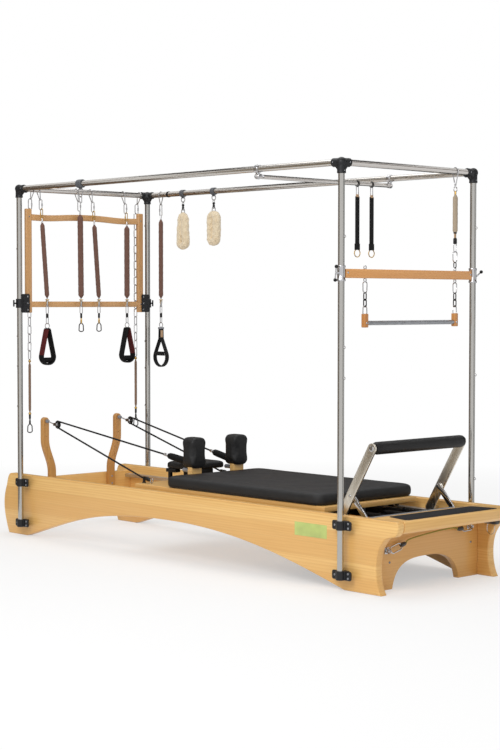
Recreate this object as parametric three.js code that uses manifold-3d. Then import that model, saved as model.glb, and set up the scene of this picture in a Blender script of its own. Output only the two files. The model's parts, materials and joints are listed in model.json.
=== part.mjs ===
// Pilates trapeze table: a wooden sliding-carriage bed under a stainless steel tower.
// Millimetres, +Z up. X runs from the head end to the foot end, -Y is the front side.
// Places along X and Y are measured from the middle of the four uprights.
import * as THREE from 'three';
import { mergeVertices } from 'three/addons/utils/BufferGeometryUtils.js';
import Module from 'manifold-3d';

const wasm = await Module();
wasm.setup();

// Shared values
const gap = 0.3;              // between two pieces that touch
const overrun = 2;            // how far a cutting tool runs past a face
const overlap = 1;            // how far two joined shapes sink into each other
const half = 0.5;
const quarterTurn = Math.PI / 2;

// Tower
const uprightSpan = 2160;     // between upright axes along X
const uprightSpread = 804;    // between upright axes along Y
const railHeight = 1690;      // axis of the top rails
const tubeRadius = 13;
const tubeWall = 1.8;
const tubeSides = 12;
const socketRadius = 17.5;    // outside of a corner casting's sleeve
const socketLength = 46;      // from the corner's centre to the sleeve's mouth
const socketDepth = 26;       // how deep a tube sits in the sleeve
const uprightFoot = 40;       // lower end of an upright above the floor
const gussetReach = 34;
const gussetThick = 12;

// Saddle clamps that hold an upright to a side rail
const clampHeights = [65, 263];
const clampWidth = 104;
const clampTall = 38;
const clampEar = 7;
const saddleRadius = 18.5;
const saddleWidth = 34;

// Eyelets along the uprights, as shares of the height of the top rails
const eyeletReach = 13;
const eyeletRadius = 2.2;
const eyeletHeadFrontShares = [0.376, 0.491, 0.5775, 0.8284];
const eyeletHeadBackShares = [0.3586, 0.474, 0.556, 0.909];
const eyeletFootFrontShares = [0.5, 0.5716, 0.8284];
const eyeletFootBackShares = [0.2325, 0.494, 0.862];

// Bed
const bedOuter = 730;         // over both side rails
const railThick = 40;
const railTop = 297;
const headOverhang = 195;     // side rail past the head uprights
const footOverhang = 270;     // side rail nose past the foot uprights
const headBoardInner = 1130;  // inner face of the head end board, from the middle
const headBoardThick = 28;
const headBoardTop = 272;
const headBoardBottom = 110;
const footPanelOuter = 1178;
const footPanelThick = 30;
const footPanelTop = 246;
const footPanelLegInner = 204;
const footPanelArchTop = 116;
const archTop = 176;
const archHeadOutset = 4;     // the long arch starts outside of the head uprights
const archFootInset = 16;     // and ends inside of the foot uprights
const footLegReach = 180;     // a side rail's foot leg past the foot uprights
const noseDrop = 62;          // depth of the nose
const railArchShares = [[0.154, 0.54], [0.242, 1], [0.495, 1], [0.7, 1], [0.846, 0.545], [1, 0]];
const railHollowShares = [[-0.36, 0.21], [-0.38, 0.64], [-0.04, 0.83], [0.155, 0.95], [0.33, 0.98]];
const railNoseShares = [[0.55, 1], [0.1, 0.97], [0, 0.55], [0, 0.26], [0, 0.06], [0.13, 0], [0.29, 0]];
const railHeadShares = [[0.202, 1], [0.141, 1], [0.114, 0.953], [0.074, 0.798],
  [-0.0332, 0.562], [-0.0332, 0.37], [0.1347, 0]];
const panelArchShares = [[-0.9, 0.9], [-0.5, 1], [0, 1], [0.5, 1], [0.9, 0.9], [1, 0]];
const platformInner = 1186;
const platformRound = 22;
const trackThick = 33;
const trackTop = 256;
const trackTall = 16;

// Risers and pulleys
const riserThick = 24;
const riserWide = 38;
const riserBottom = 196;
const riserTop = 572;
const riserBase = 186;        // middle of the riser from the centre line, at its base
const riserSpread = 42;       // how far the top stands further out
const riserBendLow = 300;     // the bend runs between these two heights
const riserBendHigh = 460;
const riserHoleRadius = 2.5;
const knobRadius = 9;
const knobLength = 20;
const pulleyReach = 95.7;     // riser face to pulley axle
const pulleyRadius = 17;
const pulleyWidth = 11;
const pulleyHeight = 541;
const cheekThick = 2.5;
const cheekHalf = 7;
const axleRadius = 3;
const axleClearance = 0.3;
const ropeRadius = 3;
const ropeWrapSteps = 8;
const ropeGripLong = 48;        // strap sleeve in front of the shoulder rest
const ropeGripRadius = 9;
const ropeGripRise = 16;
const grooveDepth = 5;
const ropeLift = 1.5;           // how far the rope's middle lies above the groove's floor and itself

// Carriage
const boardHead = -345;
const boardFootGap = 60;      // between the board's foot edge and the foot bar's arms
const boardHalf = 285;
const boardTop = 309;
const boardThick = 24;
const matHead = -86;
const matFootInset = 14;      // from the board's foot edge
const matHalf = 276;
const matThick = 52;
const matRound = 46;
const matEdge = 13;           // how far the mat's edges are drawn in
const padEdge = 9;
const restPlace = -104;       // middle of the shoulder rests along X
const restSpread = 130;       // middle of a shoulder rest from the centre line
const restDepth = 68;
const restWide = 80;
const restTall = 132;
const restBottom = 402;
const restRound = 24;
const blockDepth = 30;
const blockWide = 62;
const headrestHead = -335;
const headrestFoot = -156;
const headrestHalf = 118;
const headrestThick = 34;
const headrestBottom = 369;
const headrestRound = 20;
const rollerRadius = 14;
const rollerWide = 15;
const rollerPlace = 305;      // roller's middle from the centre line
const rollerAxles = [-250, 740];
const axleShaft = 5;
const axlePlate = [30, 6];    // length along X and thickness
const axlePlatePlace = 269;
const axlePlateBottom = 254;
const headrestBlockInset = 60;
const headrestBlockHalf = 50;
const hingeInset = 20;
const anchorLong = 20;
const anchorBottom = 250.5;
const ropePostPlace = 240;
const ropePostRadius = 7;
const ropePostTall = 30;
const ropePostInset = 14;       // from the board's head edge

// Springs under the carriage
const springAxisHeight = 258.5;
const springRadius = 8.5;
const springWire = 1.7;
const springCurls = 8;
const springPlaces = [-150, -40];
const springEnd = 20;         // solid end between a spring's coil and its anchor
const springOutset = 14;      // a spring's coil starts this far past the carriage board
const springBarReach = 26;    // and ends this far before the bar's axis
const deckHead = 905;
const deckFoot = 1144;
const deckThick = 5;
const deckBottom = 240.5;
const springBarPlace = 1128;
const springBarRadius = 6;
const notchBlockWide = 12;
const notchBlockLong = 46;

// Foot bar
const pivotPlace = [957, 268];       // X and Z of the bar's pivot
const rollPlace = [1131, 563];       // X and Z of the padded roll
const armSpread = 275;
const armThick = 9;
const armWide = 42;
const pinRadius = 6;
const pinDepth = 14;
const pinClearance = 0.5;
const rollRadius = 23;
const rollCore = 11;
const rollHalf = 264;
const rollEdge = 7;
const rollCap = 3;                   // screw cap on the outside of each arm
const rollCapRadius = 8;
const strutShare = 0.33;             // how far up the arm the strut's pin sits
const strutFootPlace = [1090, 278];  // X and Z of the strut's rod
const strutWide = 24;
const strutThick = 7;
const strutRod = 6;
const strutPin = 4;

// Push-through slat and trapeze
const slatHeight = 1256;      // middle of the slat above the floor
const slatTall = 36;
const slatThick = 22;
const slatClampTall = 66;
const slatClampRadius = 18;
const handleReach = 32;
const handleBall = 6.5;
const handleHalf = 22;
const handleStem = 4;
const handleBar = 3.2;
const slatSleeveLong = 24;
const slatSleeveWall = 3;
const slatEyeRadius = 7;
const eyeShareFront = 0.17;
const eyeShareBack = 0.855;
const trapezeDrop = 196;      // trapeze bar below the slat
const trapezeRadius = 9;
const trapezeLink = 9;
const trapezeBlock = [22, 22, 60];
const trapezeBarShare = 0.7;         // how far below a block's top the bar enters it
const chainRadius = 4;
const chainPitch = 66;

// Head frame
const frameThick = 22;
const frameDrop = 94;                // frame's top below the top rails' axes
const frameTall = 506;
const stileWide = 40;
const stileGap = 17;                 // between a stile and its upright
const crossDrops = [26, 450];        // tops of the two bars below the frame's top
const crossTall = 30;
const waveShare = 0.22;
const frameBracketRise = 46;         // middle of a bracket above the frame's bottom
const frameBracketTall = 92;
const bracketCollar = 44;
const bracketWall = 5.2;
const bracketPlate = 4;
const bracketWeb = 10;
const knobReach = 34.5;
const knobHalf = 16;
const knobBar = 4;

// Hanging pieces
const ringWire = 2;
const ringRadius = 20;
const hangGap = 0.6;                 // above the rail, so that the ring clears it as it swings
const linkPlay = 0.5;
const linkedRings = 2 * ringWire + linkPlay;  // between the wires of two linked rings
const hangOffset = 32;               // hanging springs stand this far in front of the head rail
const chainOffset = 32;              // chains hang this far behind it
const sleeveRadius = 9;
const sleeveNeck = 26;               // from the sleeve's top to where its hook begins
const sleevePin = 50;                // from the sleeve's lower end to its link
const springLink = 24;
const springLinkHalf = 10;
const springStem = 84;               // swivel between the link and a hand loop
const springStemRadius = 6;
const headSpringPlaces = [-275, -55, 45, 240];
const headSpringDrops = [168, 120, 168, 168];   // sleeves' tops below the rail
const headSpringLoops = [true, false, false, true];
const footLoopPlace = -972;          // spring with the foot loop, along the back rail
const footLoopDrop = 132;
// What hangs from the top rails ends at these shares of the way up from the bed to the rails
const sleeveShare = 0.6253;
const chainShare = 0.4027;
const thinSpringShare = 0.2103;
const handLoopWide = 106;
const handLoopTall = 172;
const handLoopThick = 24;
const handLoopBand = 13;
const chainPlaces = [-330, 338];
const thinSpringRadius = 6.5;
const thinSpringWire = 1.6;
const thinSpringCurls = 7;
const thinSpringPlug = 12;           // solid ends of the thin spring
const chainSlope = 30;               // drop over which the hook leads from the ring to the chain
const snapHookTall = 84;
const snapHookHalf = 9;
const snapSwivelRadius = 5;
const sheepskinPlaces = [-798, -566];
const sheepskinDrop = 100;           // its top below the rail
const sheepskinTall = 182;
const sheepskinWide = 84;
const sheepskinThick = 34;
const sheepskinSteps = 12;
const sheepskinStem = 5;
const crossbarPlace = 604;
const crossbarDrop = 31;             // axis of the crossbar below the top rails' axes
const crossbarRadius = 9;
const crossbarEnd = 12;              // past the rails' axes
const railClampLong = 34;
const railClampWall = 4.7;
const railClampNeck = 18;
const strapPlaces = [194, 285];
const strapNeck = 20;                // from the crossbar's underside to the webbing
const strapStem = 2.5;
const strapRing = 12;
const strapDrop = 318;               // webbing's lower end below the top rails
const strapWide = 30;
const strapThick = 7;
// Neck, sleeve's top, ferrule's top, bottom and neck, and pin's end, from the slat's eye to the ring
const slatSpringShares = [0.874, 0.814, 0.358, 0.257, 0.227, 0.143];
const slatSpringRadius = 11;
const slatSpringPin = 3;
const safetyLineRadius = 2.6;
const safetyLineFront = [-262, 178];   // Y and Z of the front eye
const safetyLineBack = [296, 214];
const safetyPlate = 22;
const safetyPlateThick = 4;
const safetyEye = 8;
const safetyLink = 52;
const safetyLinkHalf = 8;
const safetySwivel = 34;

// Half sizes and planes that several pieces share
const halfSpan = uprightSpan * half;
const halfSpread = uprightSpread * half;
const bedHalf = bedOuter * half;
const railInner = bedHalf - railThick;
const fitHalf = railInner - gap;      // half width of what fits between the side rails
const nose = halfSpan + footOverhang;
const headEnd = -halfSpan - headOverhang;
const boardFoot = pivotPlace[0] - armWide * half - boardFootGap;
const matFoot = boardFoot - matFootInset;
const frameHalf = halfSpread - tubeRadius - stileGap;   // outer edge of a stile
const aboveBed = (share) => railTop + share * (railHeight - railTop);

// Finishes
const finish = (color, roughness, metalness) =>
  new THREE.MeshStandardMaterial({ color, roughness, metalness });
const maple = finish(0xe3bf82, 0.45, 0);
const orangeWood = finish(0xd08a4a, 0.45, 0);
const goldenWood = finish(0xcf9850, 0.45, 0);
const stainless = finish(0xb9b5ae, 0.22, 1);
const chrome = finish(0xd6d6d6, 0.12, 1);
const blackMetal = finish(0x1a1b1d, 0.5, 0.2);
const trackMetal = finish(0xbfc0c0, 0.4, 0.8);
const vinyl = finish(0x1c1c1d, 0.55, 0);
const ropeBlack = finish(0x101010, 0.8, 0);
const brownSleeve = finish(0x6e4b41, 0.8, 0);
const brassSpring = finish(0x9a6a3c, 0.4, 0.8);
const fleece = finish(0xe1cdaa, 0.95, 0);
const beigeSleeve = finish(0xa59682, 0.8, 0);
const oliveCord = finish(0x8c8338, 0.7, 0);

// Solid from a geometry: only positions, shared corners merged, flat triangles dropped
function solid(geometry) {
  const bare = geometry.clone();
  bare.deleteAttribute('normal');
  bare.deleteAttribute('uv');
  const merged = mergeVertices(bare);
  const corners = merged.index.array;
  const kept = [];
  for (let i = 0; i < corners.length; i += 3) {
    const [a, b, c] = corners.slice(i, i + 3);
    if (a !== b && b !== c && c !== a) kept.push(a, b, c);
  }
  return new wasm.Manifold(new wasm.Mesh({
    numProp: 3,
    vertProperties: new Float32Array(merged.attributes.position.array),
    triVerts: new Uint32Array(kept),
  }));
}

const asSolid = (shape) => (shape.isBufferGeometry ? solid(shape) : shape);
const join = (shapes) => shapes.map(asSolid).reduce((whole, next) => whole.add(next));
const cut = (shape, tools) =>
  tools.map(asSolid).reduce((rest, tool) => rest.subtract(tool), asSolid(shape));

function toGeometry(shape) {
  const mesh = asSolid(shape).getMesh();
  const geometry = new THREE.BufferGeometry();
  geometry.setAttribute('position', new THREE.BufferAttribute(mesh.vertProperties, 3));
  geometry.setIndex(new THREE.BufferAttribute(mesh.triVerts, 1));
  geometry.computeVertexNormals();
  return geometry;
}

const table = new THREE.Group();

function piece(name, shape, material, place = [0, 0, 0]) {
  const mesh = new THREE.Mesh(toGeometry(shape), material);
  mesh.name = name;
  mesh.position.set(...place);
  table.add(mesh);
}

// Basic shapes, each given where it stands
function box(sizes, centre) {
  return new THREE.BoxGeometry(...sizes).translate(...centre);
}

function boxBetween(low, high) {
  const sizes = high.map((value, i) => value - low[i]);
  const centre = high.map((value, i) => (value + low[i]) * half);
  return box(sizes, centre);
}

function rod(from, to, radius, sides = 12, endRadius = radius) {
  const start = new THREE.Vector3(...from);
  const run = new THREE.Vector3(...to).sub(start);
  const shape = new THREE.CylinderGeometry(endRadius, radius, run.length(), sides);
  shape.translate(0, run.length() * half, 0);
  const turn = new THREE.Quaternion();
  turn.setFromUnitVectors(new THREE.Vector3(0, 1, 0), run.normalize());
  return shape.applyQuaternion(turn).translate(...from);
}

// Turned shape about a vertical axis: pairs of radius and height, from the top down
function turned(profile, centre, sides = 8) {
  const ends = [[0, profile[0][1]], ...profile, [0, profile[profile.length - 1][1]]];
  const points = ends.reverse().map(([r, z]) => new THREE.Vector2(r, z));
  const shape = new THREE.LatheGeometry(points, sides);
  return shape.rotateX(quarterTurn).translate(centre[0], centre[1], 0);
}

// Round ring whose opening faces along X, Y or Z, stretched in height by tall
function ring(centre, radius, wire, facing, tall = 1, steps = 10, sides = 4) {
  const shape = new THREE.TorusGeometry(radius, wire, sides, steps);
  shape.scale(1, tall, 1);
  if (facing === 'x') shape.rotateY(quarterTurn).rotateX(quarterTurn);
  if (facing === 'y') shape.rotateX(quarterTurn);
  return shape.translate(...centre);
}

// Long link between two heights, on which the wire's middle lies at both
function link(x, y, top, bottom, halfWide, facing) {
  const reach = (top - bottom) * half;
  return ring([x, y, bottom + reach], halfWide, ringWire, facing, reach / halfWide, 8);
}

// Outline in X and Z made into a plate that lies between two Y values
function plateXZ(shape, fromY, toY, curveSteps = 8) {
  const options = { depth: toY - fromY, bevelEnabled: false, curveSegments: curveSteps };
  const plate = new THREE.ExtrudeGeometry(shape, options);
  return plate.rotateX(quarterTurn).translate(0, toY, 0);
}

// Outline in Y and Z made into a plate that lies between two X values
function plateYZ(shape, fromX, toX, curveSteps = 8) {
  const options = { depth: toX - fromX, bevelEnabled: false, curveSegments: curveSteps };
  const plate = new THREE.ExtrudeGeometry(shape, options);
  return plate.rotateX(quarterTurn).rotateZ(quarterTurn).translate(fromX, 0, 0);
}

// Tube with rows of points joined in a closed surface: rows are arrays of [x, y, z]
function rowsToGeometry(rows, closed = false) {
  const count = rows[0].length;
  const positions = rows.flat(2);
  const faces = [];
  const bands = closed ? rows.length : rows.length - 1;
  for (let r = 0; r < bands; r += 1) {
    const next = ((r + 1) % rows.length) * count;
    for (let i = 0; i < count; i += 1) {
      const j = (i + 1) % count;
      faces.push(r * count + i, r * count + j, next + j, r * count + i, next + j, next + i);
    }
  }
  const last = (rows.length - 1) * count;
  for (let i = 1; i < count - 1 && !closed; i += 1) {
    faces.push(0, i + 1, i, last, last + i, last + i + 1);
  }
  const geometry = new THREE.BufferGeometry();
  geometry.setAttribute('position', new THREE.Float32BufferAttribute(positions, 3));
  geometry.setIndex(faces);
  return geometry;
}

// Round tube along points; flat is the direction that the route mostly stays square to
function tube(points, radius, flat, sides = 8, closed = false) {
  const places = points.map((point) => new THREE.Vector3(...point));
  const count = places.length;
  const normal = new THREE.Vector3(...flat);
  const rows = places.map((place, i) => {
    const before = closed ? places[(i + count - 1) % count] : places[Math.max(i - 1, 0)];
    const after = closed ? places[(i + 1) % count] : places[Math.min(i + 1, count - 1)];
    const along = after.clone().sub(before).normalize();
    const side = new THREE.Vector3().crossVectors(along, normal).normalize();
    const up = new THREE.Vector3().crossVectors(side, along);
    const row = [];
    for (let k = 0; k < sides; k += 1) {
      const around = (k / sides) * 2 * Math.PI;
      const point = place.clone().addScaledVector(side, radius * Math.cos(around));
      point.addScaledVector(up, -radius * Math.sin(around));
      row.push(point.toArray());
    }
    return row;
  });
  return rowsToGeometry(rows, closed);
}

// Closed coil spring along a line, one unbroken tube of 8 steps and 5 sides a curl
const curlSteps = 8;
const coilSides = 5;
function coil(from, to, radius, wire, curls) {
  const start = new THREE.Vector3(...from);
  const run = new THREE.Vector3(...to).sub(start);
  const along = run.clone().normalize();
  const side = Math.abs(along.z) > half ? new THREE.Vector3(1, 0, 0) : new THREE.Vector3(0, 0, 1);
  const up = new THREE.Vector3().crossVectors(along, side).normalize();
  const steps = curls * curlSteps;
  const pitch = run.length() / curls;
  const rows = [];
  for (let s = 0; s <= steps; s += 1) {
    const turn = (s / curlSteps) * 2 * Math.PI;
    const out = side.clone().multiplyScalar(Math.cos(turn)).addScaledVector(up, Math.sin(turn));
    const middle = start.clone().addScaledVector(run, s / steps).addScaledVector(out, radius);
    const row = [];
    for (let i = 0; i < coilSides; i += 1) {
      const around = (i / coilSides) * 2 * Math.PI;
      const point = middle.clone().addScaledVector(out, wire * Math.cos(around));
      point.addScaledVector(along, -wire * Math.sin(around));
      row.push(point.toArray());
    }
    rows.push(row);
  }
  console.log(`coil pitch ${pitch.toFixed(1)}, least gap to itself ${coilGap(rows).toFixed(2)} mm`);
  return rowsToGeometry(rows);
}

// Least distance between points of the coil's wire that lie a full curl apart
function coilGap(rows) {
  let least = Infinity;
  for (let r = 0; r + curlSteps < rows.length; r += 1) {
    for (const a of rows[r]) {
      for (const b of rows[r + curlSteps]) {
        least = Math.min(least, Math.hypot(a[0] - b[0], a[1] - b[1], a[2] - b[2]));
      }
    }
  }
  return least;
}

// Rounded rectangle as a ring of points, counter-clockwise seen from above
function roundedRing(halfX, halfY, round, z, steps) {
  const points = [];
  const centres = [[1, 1], [-1, 1], [-1, -1], [1, -1]];
  centres.forEach(([sx, sy], corner) => {
    for (let i = 0; i <= steps; i += 1) {
      const angle = (corner + i / steps) * quarterTurn;
      const x = sx * (halfX - round) + round * Math.cos(angle);
      const y = sy * (halfY - round) + round * Math.sin(angle);
      points.push([x, y, z]);
    }
  });
  return points;
}

// Cushion: flat underside, sides that swell at half height, edges drawn in, crowned top
const cushionLevelShares = [
  // share of the height, share of the edge's inset, share of the outline kept
  [0, 1, 1], [0.1, 0.3, 1], [0.45, 0, 1], [0.78, 0.25, 1], [0.9, 0.9, 1],
  [0.955, 0, 0.8], [0.99, 0, 0.45], [1, 0, 0.15],
];
function cushion(halfX, halfY, tall, round, edge, steps = 3) {
  const rows = cushionLevelShares.map(([level, inset, kept]) => {
    const cutBack = edge * inset;
    const corner = Math.max(round - cutBack, edge * half) * kept;
    return roundedRing((halfX - cutBack) * kept, (halfY - cutBack) * kept, corner,
      tall * level, steps);
  });
  return rowsToGeometry(rows);
}

// Corner castings, one for each upright, mirrored from the one at +X and +Y
const cornerSigns = [
  ['head_front', -1, -1], ['head_back', -1, 1], ['foot_front', 1, -1], ['foot_back', 1, 1],
];
function cornerCasting(sx, sy) {
  const inward = [-sx, -sy];
  const tips = [
    [inward[0] * socketLength, 0, 0], [0, inward[1] * socketLength, 0], [0, 0, -socketLength],
  ];
  const sleeves = tips.map((tip) => rod([0, 0, 0], tip, socketRadius, tubeSides));
  const core = new THREE.SphereGeometry(socketRadius, 8, 6);
  const gusset = (a, b) => {
    const outline = new THREE.Shape();
    outline.moveTo(0, 0);
    outline.lineTo(gussetReach, 0);
    outline.lineTo(0, gussetReach);
    outline.closePath();
    const options = { depth: gussetThick, bevelEnabled: false };
    const plate = new THREE.ExtrudeGeometry(outline, options);
    plate.translate(0, 0, -gussetThick * half);
    const basis = new THREE.Matrix4();
    const u = new THREE.Vector3(...a).normalize();
    const v = new THREE.Vector3(...b).normalize();
    const w = new THREE.Vector3().crossVectors(u, v);
    basis.makeBasis(u, v, w);
    return plate.applyMatrix4(basis);
  };
  const gussets = [gusset(tips[0], tips[1]), gusset(tips[1], tips[2]), gusset(tips[2], tips[0])];
  const sockets = tips.map((tip) => {
    const direction = new THREE.Vector3(...tip).normalize();
    const from = direction.clone().multiplyScalar(socketLength - socketDepth - gap);
    const to = direction.clone().multiplyScalar(socketLength + overrun);
    return rod(from.toArray(), to.toArray(), tubeRadius + gap, tubeSides);
  });
  return cut(join([core, ...sleeves, ...gussets]), sockets);
}
cornerSigns.forEach(([corner, sx, sy]) => {
  const place = [sx * halfSpan, sy * halfSpread, railHeight];
  piece(`corner_${corner}`, cornerCasting(sx, sy), blackMetal, place);
});

// Uprights with their saddle clamps and eyelets
function saddleClamp(sy, height, tubeY) {
  const face = sy * (bedHalf + gap);
  const earBack = face + sy * clampEar;
  const low = clampTall * half;
  const ears = boxBetween(
    [-clampWidth * half, Math.min(face, earBack), height - low],
    [clampWidth * half, Math.max(face, earBack), height + low],
  );
  const web = boxBetween(
    [-saddleWidth * half, Math.min(face, tubeY), height - low],
    [saddleWidth * half, Math.max(face, tubeY), height + low],
  );
  const wrap = rod([0, tubeY, height - low], [0, tubeY, height + low], saddleRadius, tubeSides);
  return join([ears, web, wrap]);
}

function upright(sy, eyeletShares, sx) {
  const top = railHeight - socketLength + socketDepth;
  const tubeY = sy * halfSpread;
  const tube = rod([0, tubeY, uprightFoot], [0, tubeY, top], tubeRadius, tubeSides);
  const clamps = clampHeights.map((height) => saddleClamp(sy, height, tubeY));
  const eyes = eyeletShares.map((share) => {
    const height = share * railHeight;
    return rod([sx * (tubeRadius - overlap), tubeY, height],
      [sx * (tubeRadius + eyeletReach), tubeY, height], eyeletRadius, 5);
  });
  const bore = rod([0, tubeY, uprightFoot - overrun], [0, tubeY, top + overrun],
    tubeRadius - tubeWall, tubeSides);
  return cut(join([tube, ...clamps, ...eyes]), [bore]);
}
const eyeletSets = [
  eyeletHeadFrontShares, eyeletHeadBackShares, eyeletFootFrontShares, eyeletFootBackShares,
];
cornerSigns.forEach(([corner, sx, sy], i) => {
  piece(`upright_${corner}`, upright(sy, eyeletSets[i], sx), stainless, [sx * halfSpan, 0, 0]);
});

// Top rails between the corner castings
const railEnd = socketLength - socketDepth;
function topRail(from, to) {
  const start = new THREE.Vector3(...from);
  const end = new THREE.Vector3(...to);
  const run = end.clone().sub(start).normalize();
  const boreFrom = start.clone().addScaledVector(run, -overrun).toArray();
  const boreTo = end.clone().addScaledVector(run, overrun).toArray();
  return cut(rod(from, to, tubeRadius, tubeSides),
    [rod(boreFrom, boreTo, tubeRadius - tubeWall, tubeSides)]);
}
const longEnd = halfSpan - railEnd;
const crossEnd = halfSpread - railEnd;
[['front', -1], ['back', 1]].forEach(([side, sy]) => {
  piece(`top_rail_${side}`, topRail([-longEnd, 0, 0], [longEnd, 0, 0]), stainless,
    [0, sy * halfSpread, railHeight]);
});
[['head', -1], ['foot', 1]].forEach(([end, sx]) => {
  piece(`top_rail_${end}`, topRail([0, -crossEnd, 0], [0, crossEnd, 0]), stainless,
    [sx * halfSpan, 0, railHeight]);
});

// Side rails: arched underside, bulging head end, rounded nose over a hollowed foot end
function sideRailOutline() {
  const outline = new THREE.Shape();
  const legEnd = halfSpan + footLegReach;
  const noseUnder = railTop - noseDrop;
  const archFrom = -halfSpan - archHeadOutset;
  const archLong = 2 * halfSpan + archHeadOutset - archFootInset;
  const atHead = ([x, z]) => [headEnd + x * railTop, z * railTop];
  const atArch = ([x, z]) => [archFrom + x * archLong, z * archTop];
  const atHollow = ([x, z]) => [legEnd + x * (nose - legEnd), z * noseUnder];
  const atNose = ([x, z]) => [nose - x * noseDrop, railTop - z * noseDrop];
  const points = [...railArchShares.map(atArch), [legEnd, 0], ...railHollowShares.map(atHollow),
    ...railNoseShares.map(atNose), ...railHeadShares.map(atHead)];
  const [a1, a2, aTop, a3, a4, aEnd, leg, h1, h2, h3, h4, h5, n0, n1, n2, n3, n4, n5, n6,
    e0, e1, e2, e3, e4, e5, e6] = points;
  outline.moveTo(archFrom, 0);
  outline.bezierCurveTo(...a1, ...a2, ...aTop);
  outline.bezierCurveTo(...a3, ...a4, ...aEnd);
  outline.lineTo(...leg);
  outline.bezierCurveTo(...h1, ...h2, ...h3);
  outline.bezierCurveTo(...h4, ...h5, ...n0);
  outline.bezierCurveTo(...n1, ...n2, ...n3);
  outline.bezierCurveTo(...n4, ...n5, ...n6);
  outline.lineTo(...e0);
  outline.bezierCurveTo(...e1, ...e2, ...e3);
  outline.bezierCurveTo(...e4, ...e5, ...e6);
  outline.closePath();
  return outline;
}
function sideRail(sy) {
  const inner = sy * railInner;
  const outer = sy * bedHalf;
  const board = plateXZ(sideRailOutline(), Math.min(inner, outer), Math.max(inner, outer), 7);
  const [pivotX, pivotZ] = pivotPlace;
  const pinHole = rod([pivotX, inner - sy * overrun, pivotZ],
    [pivotX, inner + sy * (pinDepth + overrun), pivotZ], pinRadius + pinClearance, 10);
  return cut(board, [pinHole]);
}
piece('side_rail_front', sideRail(-1), maple);
piece('side_rail_back', sideRail(1), maple);

// Head end board, set in from the ends of the side rails
piece('head_end_board', boxBetween(
  [-headBoardInner - headBoardThick, -fitHalf, headBoardBottom],
  [-headBoardInner, fitHalf, headBoardTop],
), maple);

// Foot end panel with its arch
function footPanel() {
  const outline = new THREE.Shape();
  outline.moveTo(fitHalf, 0);
  outline.lineTo(fitHalf, footPanelTop);
  outline.lineTo(-fitHalf, footPanelTop);
  outline.lineTo(-fitHalf, 0);
  outline.lineTo(-footPanelLegInner, 0);
  const [a, b, top, c, d, end] = panelArchShares.map(([y, z]) =>
    [y * footPanelLegInner, z * footPanelArchTop]);
  outline.bezierCurveTo(...a, ...b, ...top);
  outline.bezierCurveTo(...c, ...d, ...end);
  outline.closePath();
  return plateYZ(outline, footPanelOuter - footPanelThick, footPanelOuter, 7);
}
piece('foot_end_panel', footPanel(), maple);

// Foot platform between the two noses, with a rounded outer edge
function footPlatform() {
  const bottom = footPanelTop + gap;
  const outline = new THREE.Shape();
  outline.moveTo(platformInner, bottom);
  outline.lineTo(nose - platformRound, bottom);
  outline.quadraticCurveTo(nose, bottom, nose, bottom + platformRound);
  outline.lineTo(nose, railTop - platformRound * half);
  outline.quadraticCurveTo(nose, railTop, nose - platformRound * half, railTop);
  outline.lineTo(platformInner, railTop);
  outline.closePath();
  return plateXZ(outline, -fitHalf, fitHalf, 5);
}
piece('foot_platform', footPlatform(), maple);

// Elastic safety line across the foot end panel: plate, eye, quick link and swivel at each end
function safetyLine() {
  const face = footPanelOuter + gap;
  const eyeX = face + safetyPlateThick + safetyEye - overlap;
  const lineX = eyeX + safetyEye;
  const shapes = [];
  const ends = [[-1, safetyLineFront], [1, safetyLineBack]].map(([sy, [place, z]]) => {
    const plate = safetyPlate * half;
    shapes.push(boxBetween([face, place - plate, z - plate],
      [face + safetyPlateThick, place + plate, z + plate]));
    shapes.push(ring([eyeX, place, z], safetyEye, ringWire, 'y', 1, 8));
    const linkEnd = place - sy * safetyLink;
    shapes.push(ring([lineX, (place + linkEnd) * half, z], safetyLinkHalf, ringWire, 'z',
      safetyLink * half / safetyLinkHalf, 8));
    const swivelEnd = linkEnd - sy * safetySwivel;
    shapes.push(rod([lineX, linkEnd, z], [lineX, swivelEnd, z], safetyLineRadius * 1.6, 6));
    return [lineX, swivelEnd + sy * overlap, z];
  });
  shapes.push(rod(ends[0], ends[1], safetyLineRadius, 6));
  return join(shapes);
}
piece('safety_line', safetyLine(), oliveCord);

// Inner tracks on the side rails
[['front', -1], ['back', 1]].forEach(([side, sy]) => {
  const near = sy * (fitHalf - trackThick);
  const far = sy * fitHalf;
  const strip = boxBetween(
    [-headBoardInner + gap, Math.min(near, far), trackTop - trackTall],
    [footPanelOuter - footPanelThick - gap, Math.max(near, far), trackTop],
  );
  piece(`track_${side}`, strip, trackMetal);
});

// Spring deck with notched blocks, and the spring bar that the springs hook on
function springBar() {
  const reach = fitHalf - trackThick - gap;
  const deckTop = deckBottom + deckThick;
  const deck = boxBetween([deckHead, -reach, deckBottom], [deckFoot, reach, deckTop]);
  const blockTop = strutFootPlace[1] - strutRod - gap;
  const blockAt = reach - notchBlockWide;
  const shapes = [deck];
  [-1, 1].forEach((sy) => {
    const y = sy * (blockAt - notchBlockWide * half);
    const middle = [strutFootPlace[0], y, (deckTop + blockTop) * half - overlap * half];
    shapes.push(box([notchBlockLong, notchBlockWide, blockTop - deckTop + overlap], middle));
    const holder = [springBarPlace, y, (deckTop + springAxisHeight) * half];
    shapes.push(box([2 * springBarRadius, notchBlockWide, springAxisHeight - deckTop + overlap],
      holder));
  });
  const barEnd = blockAt - notchBlockWide * half;
  shapes.push(rod([springBarPlace, -barEnd, springAxisHeight],
    [springBarPlace, barEnd, springAxisHeight], springBarRadius, 10));
  return join(shapes);
}
piece('spring_bar', springBar(), blackMetal);

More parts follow.
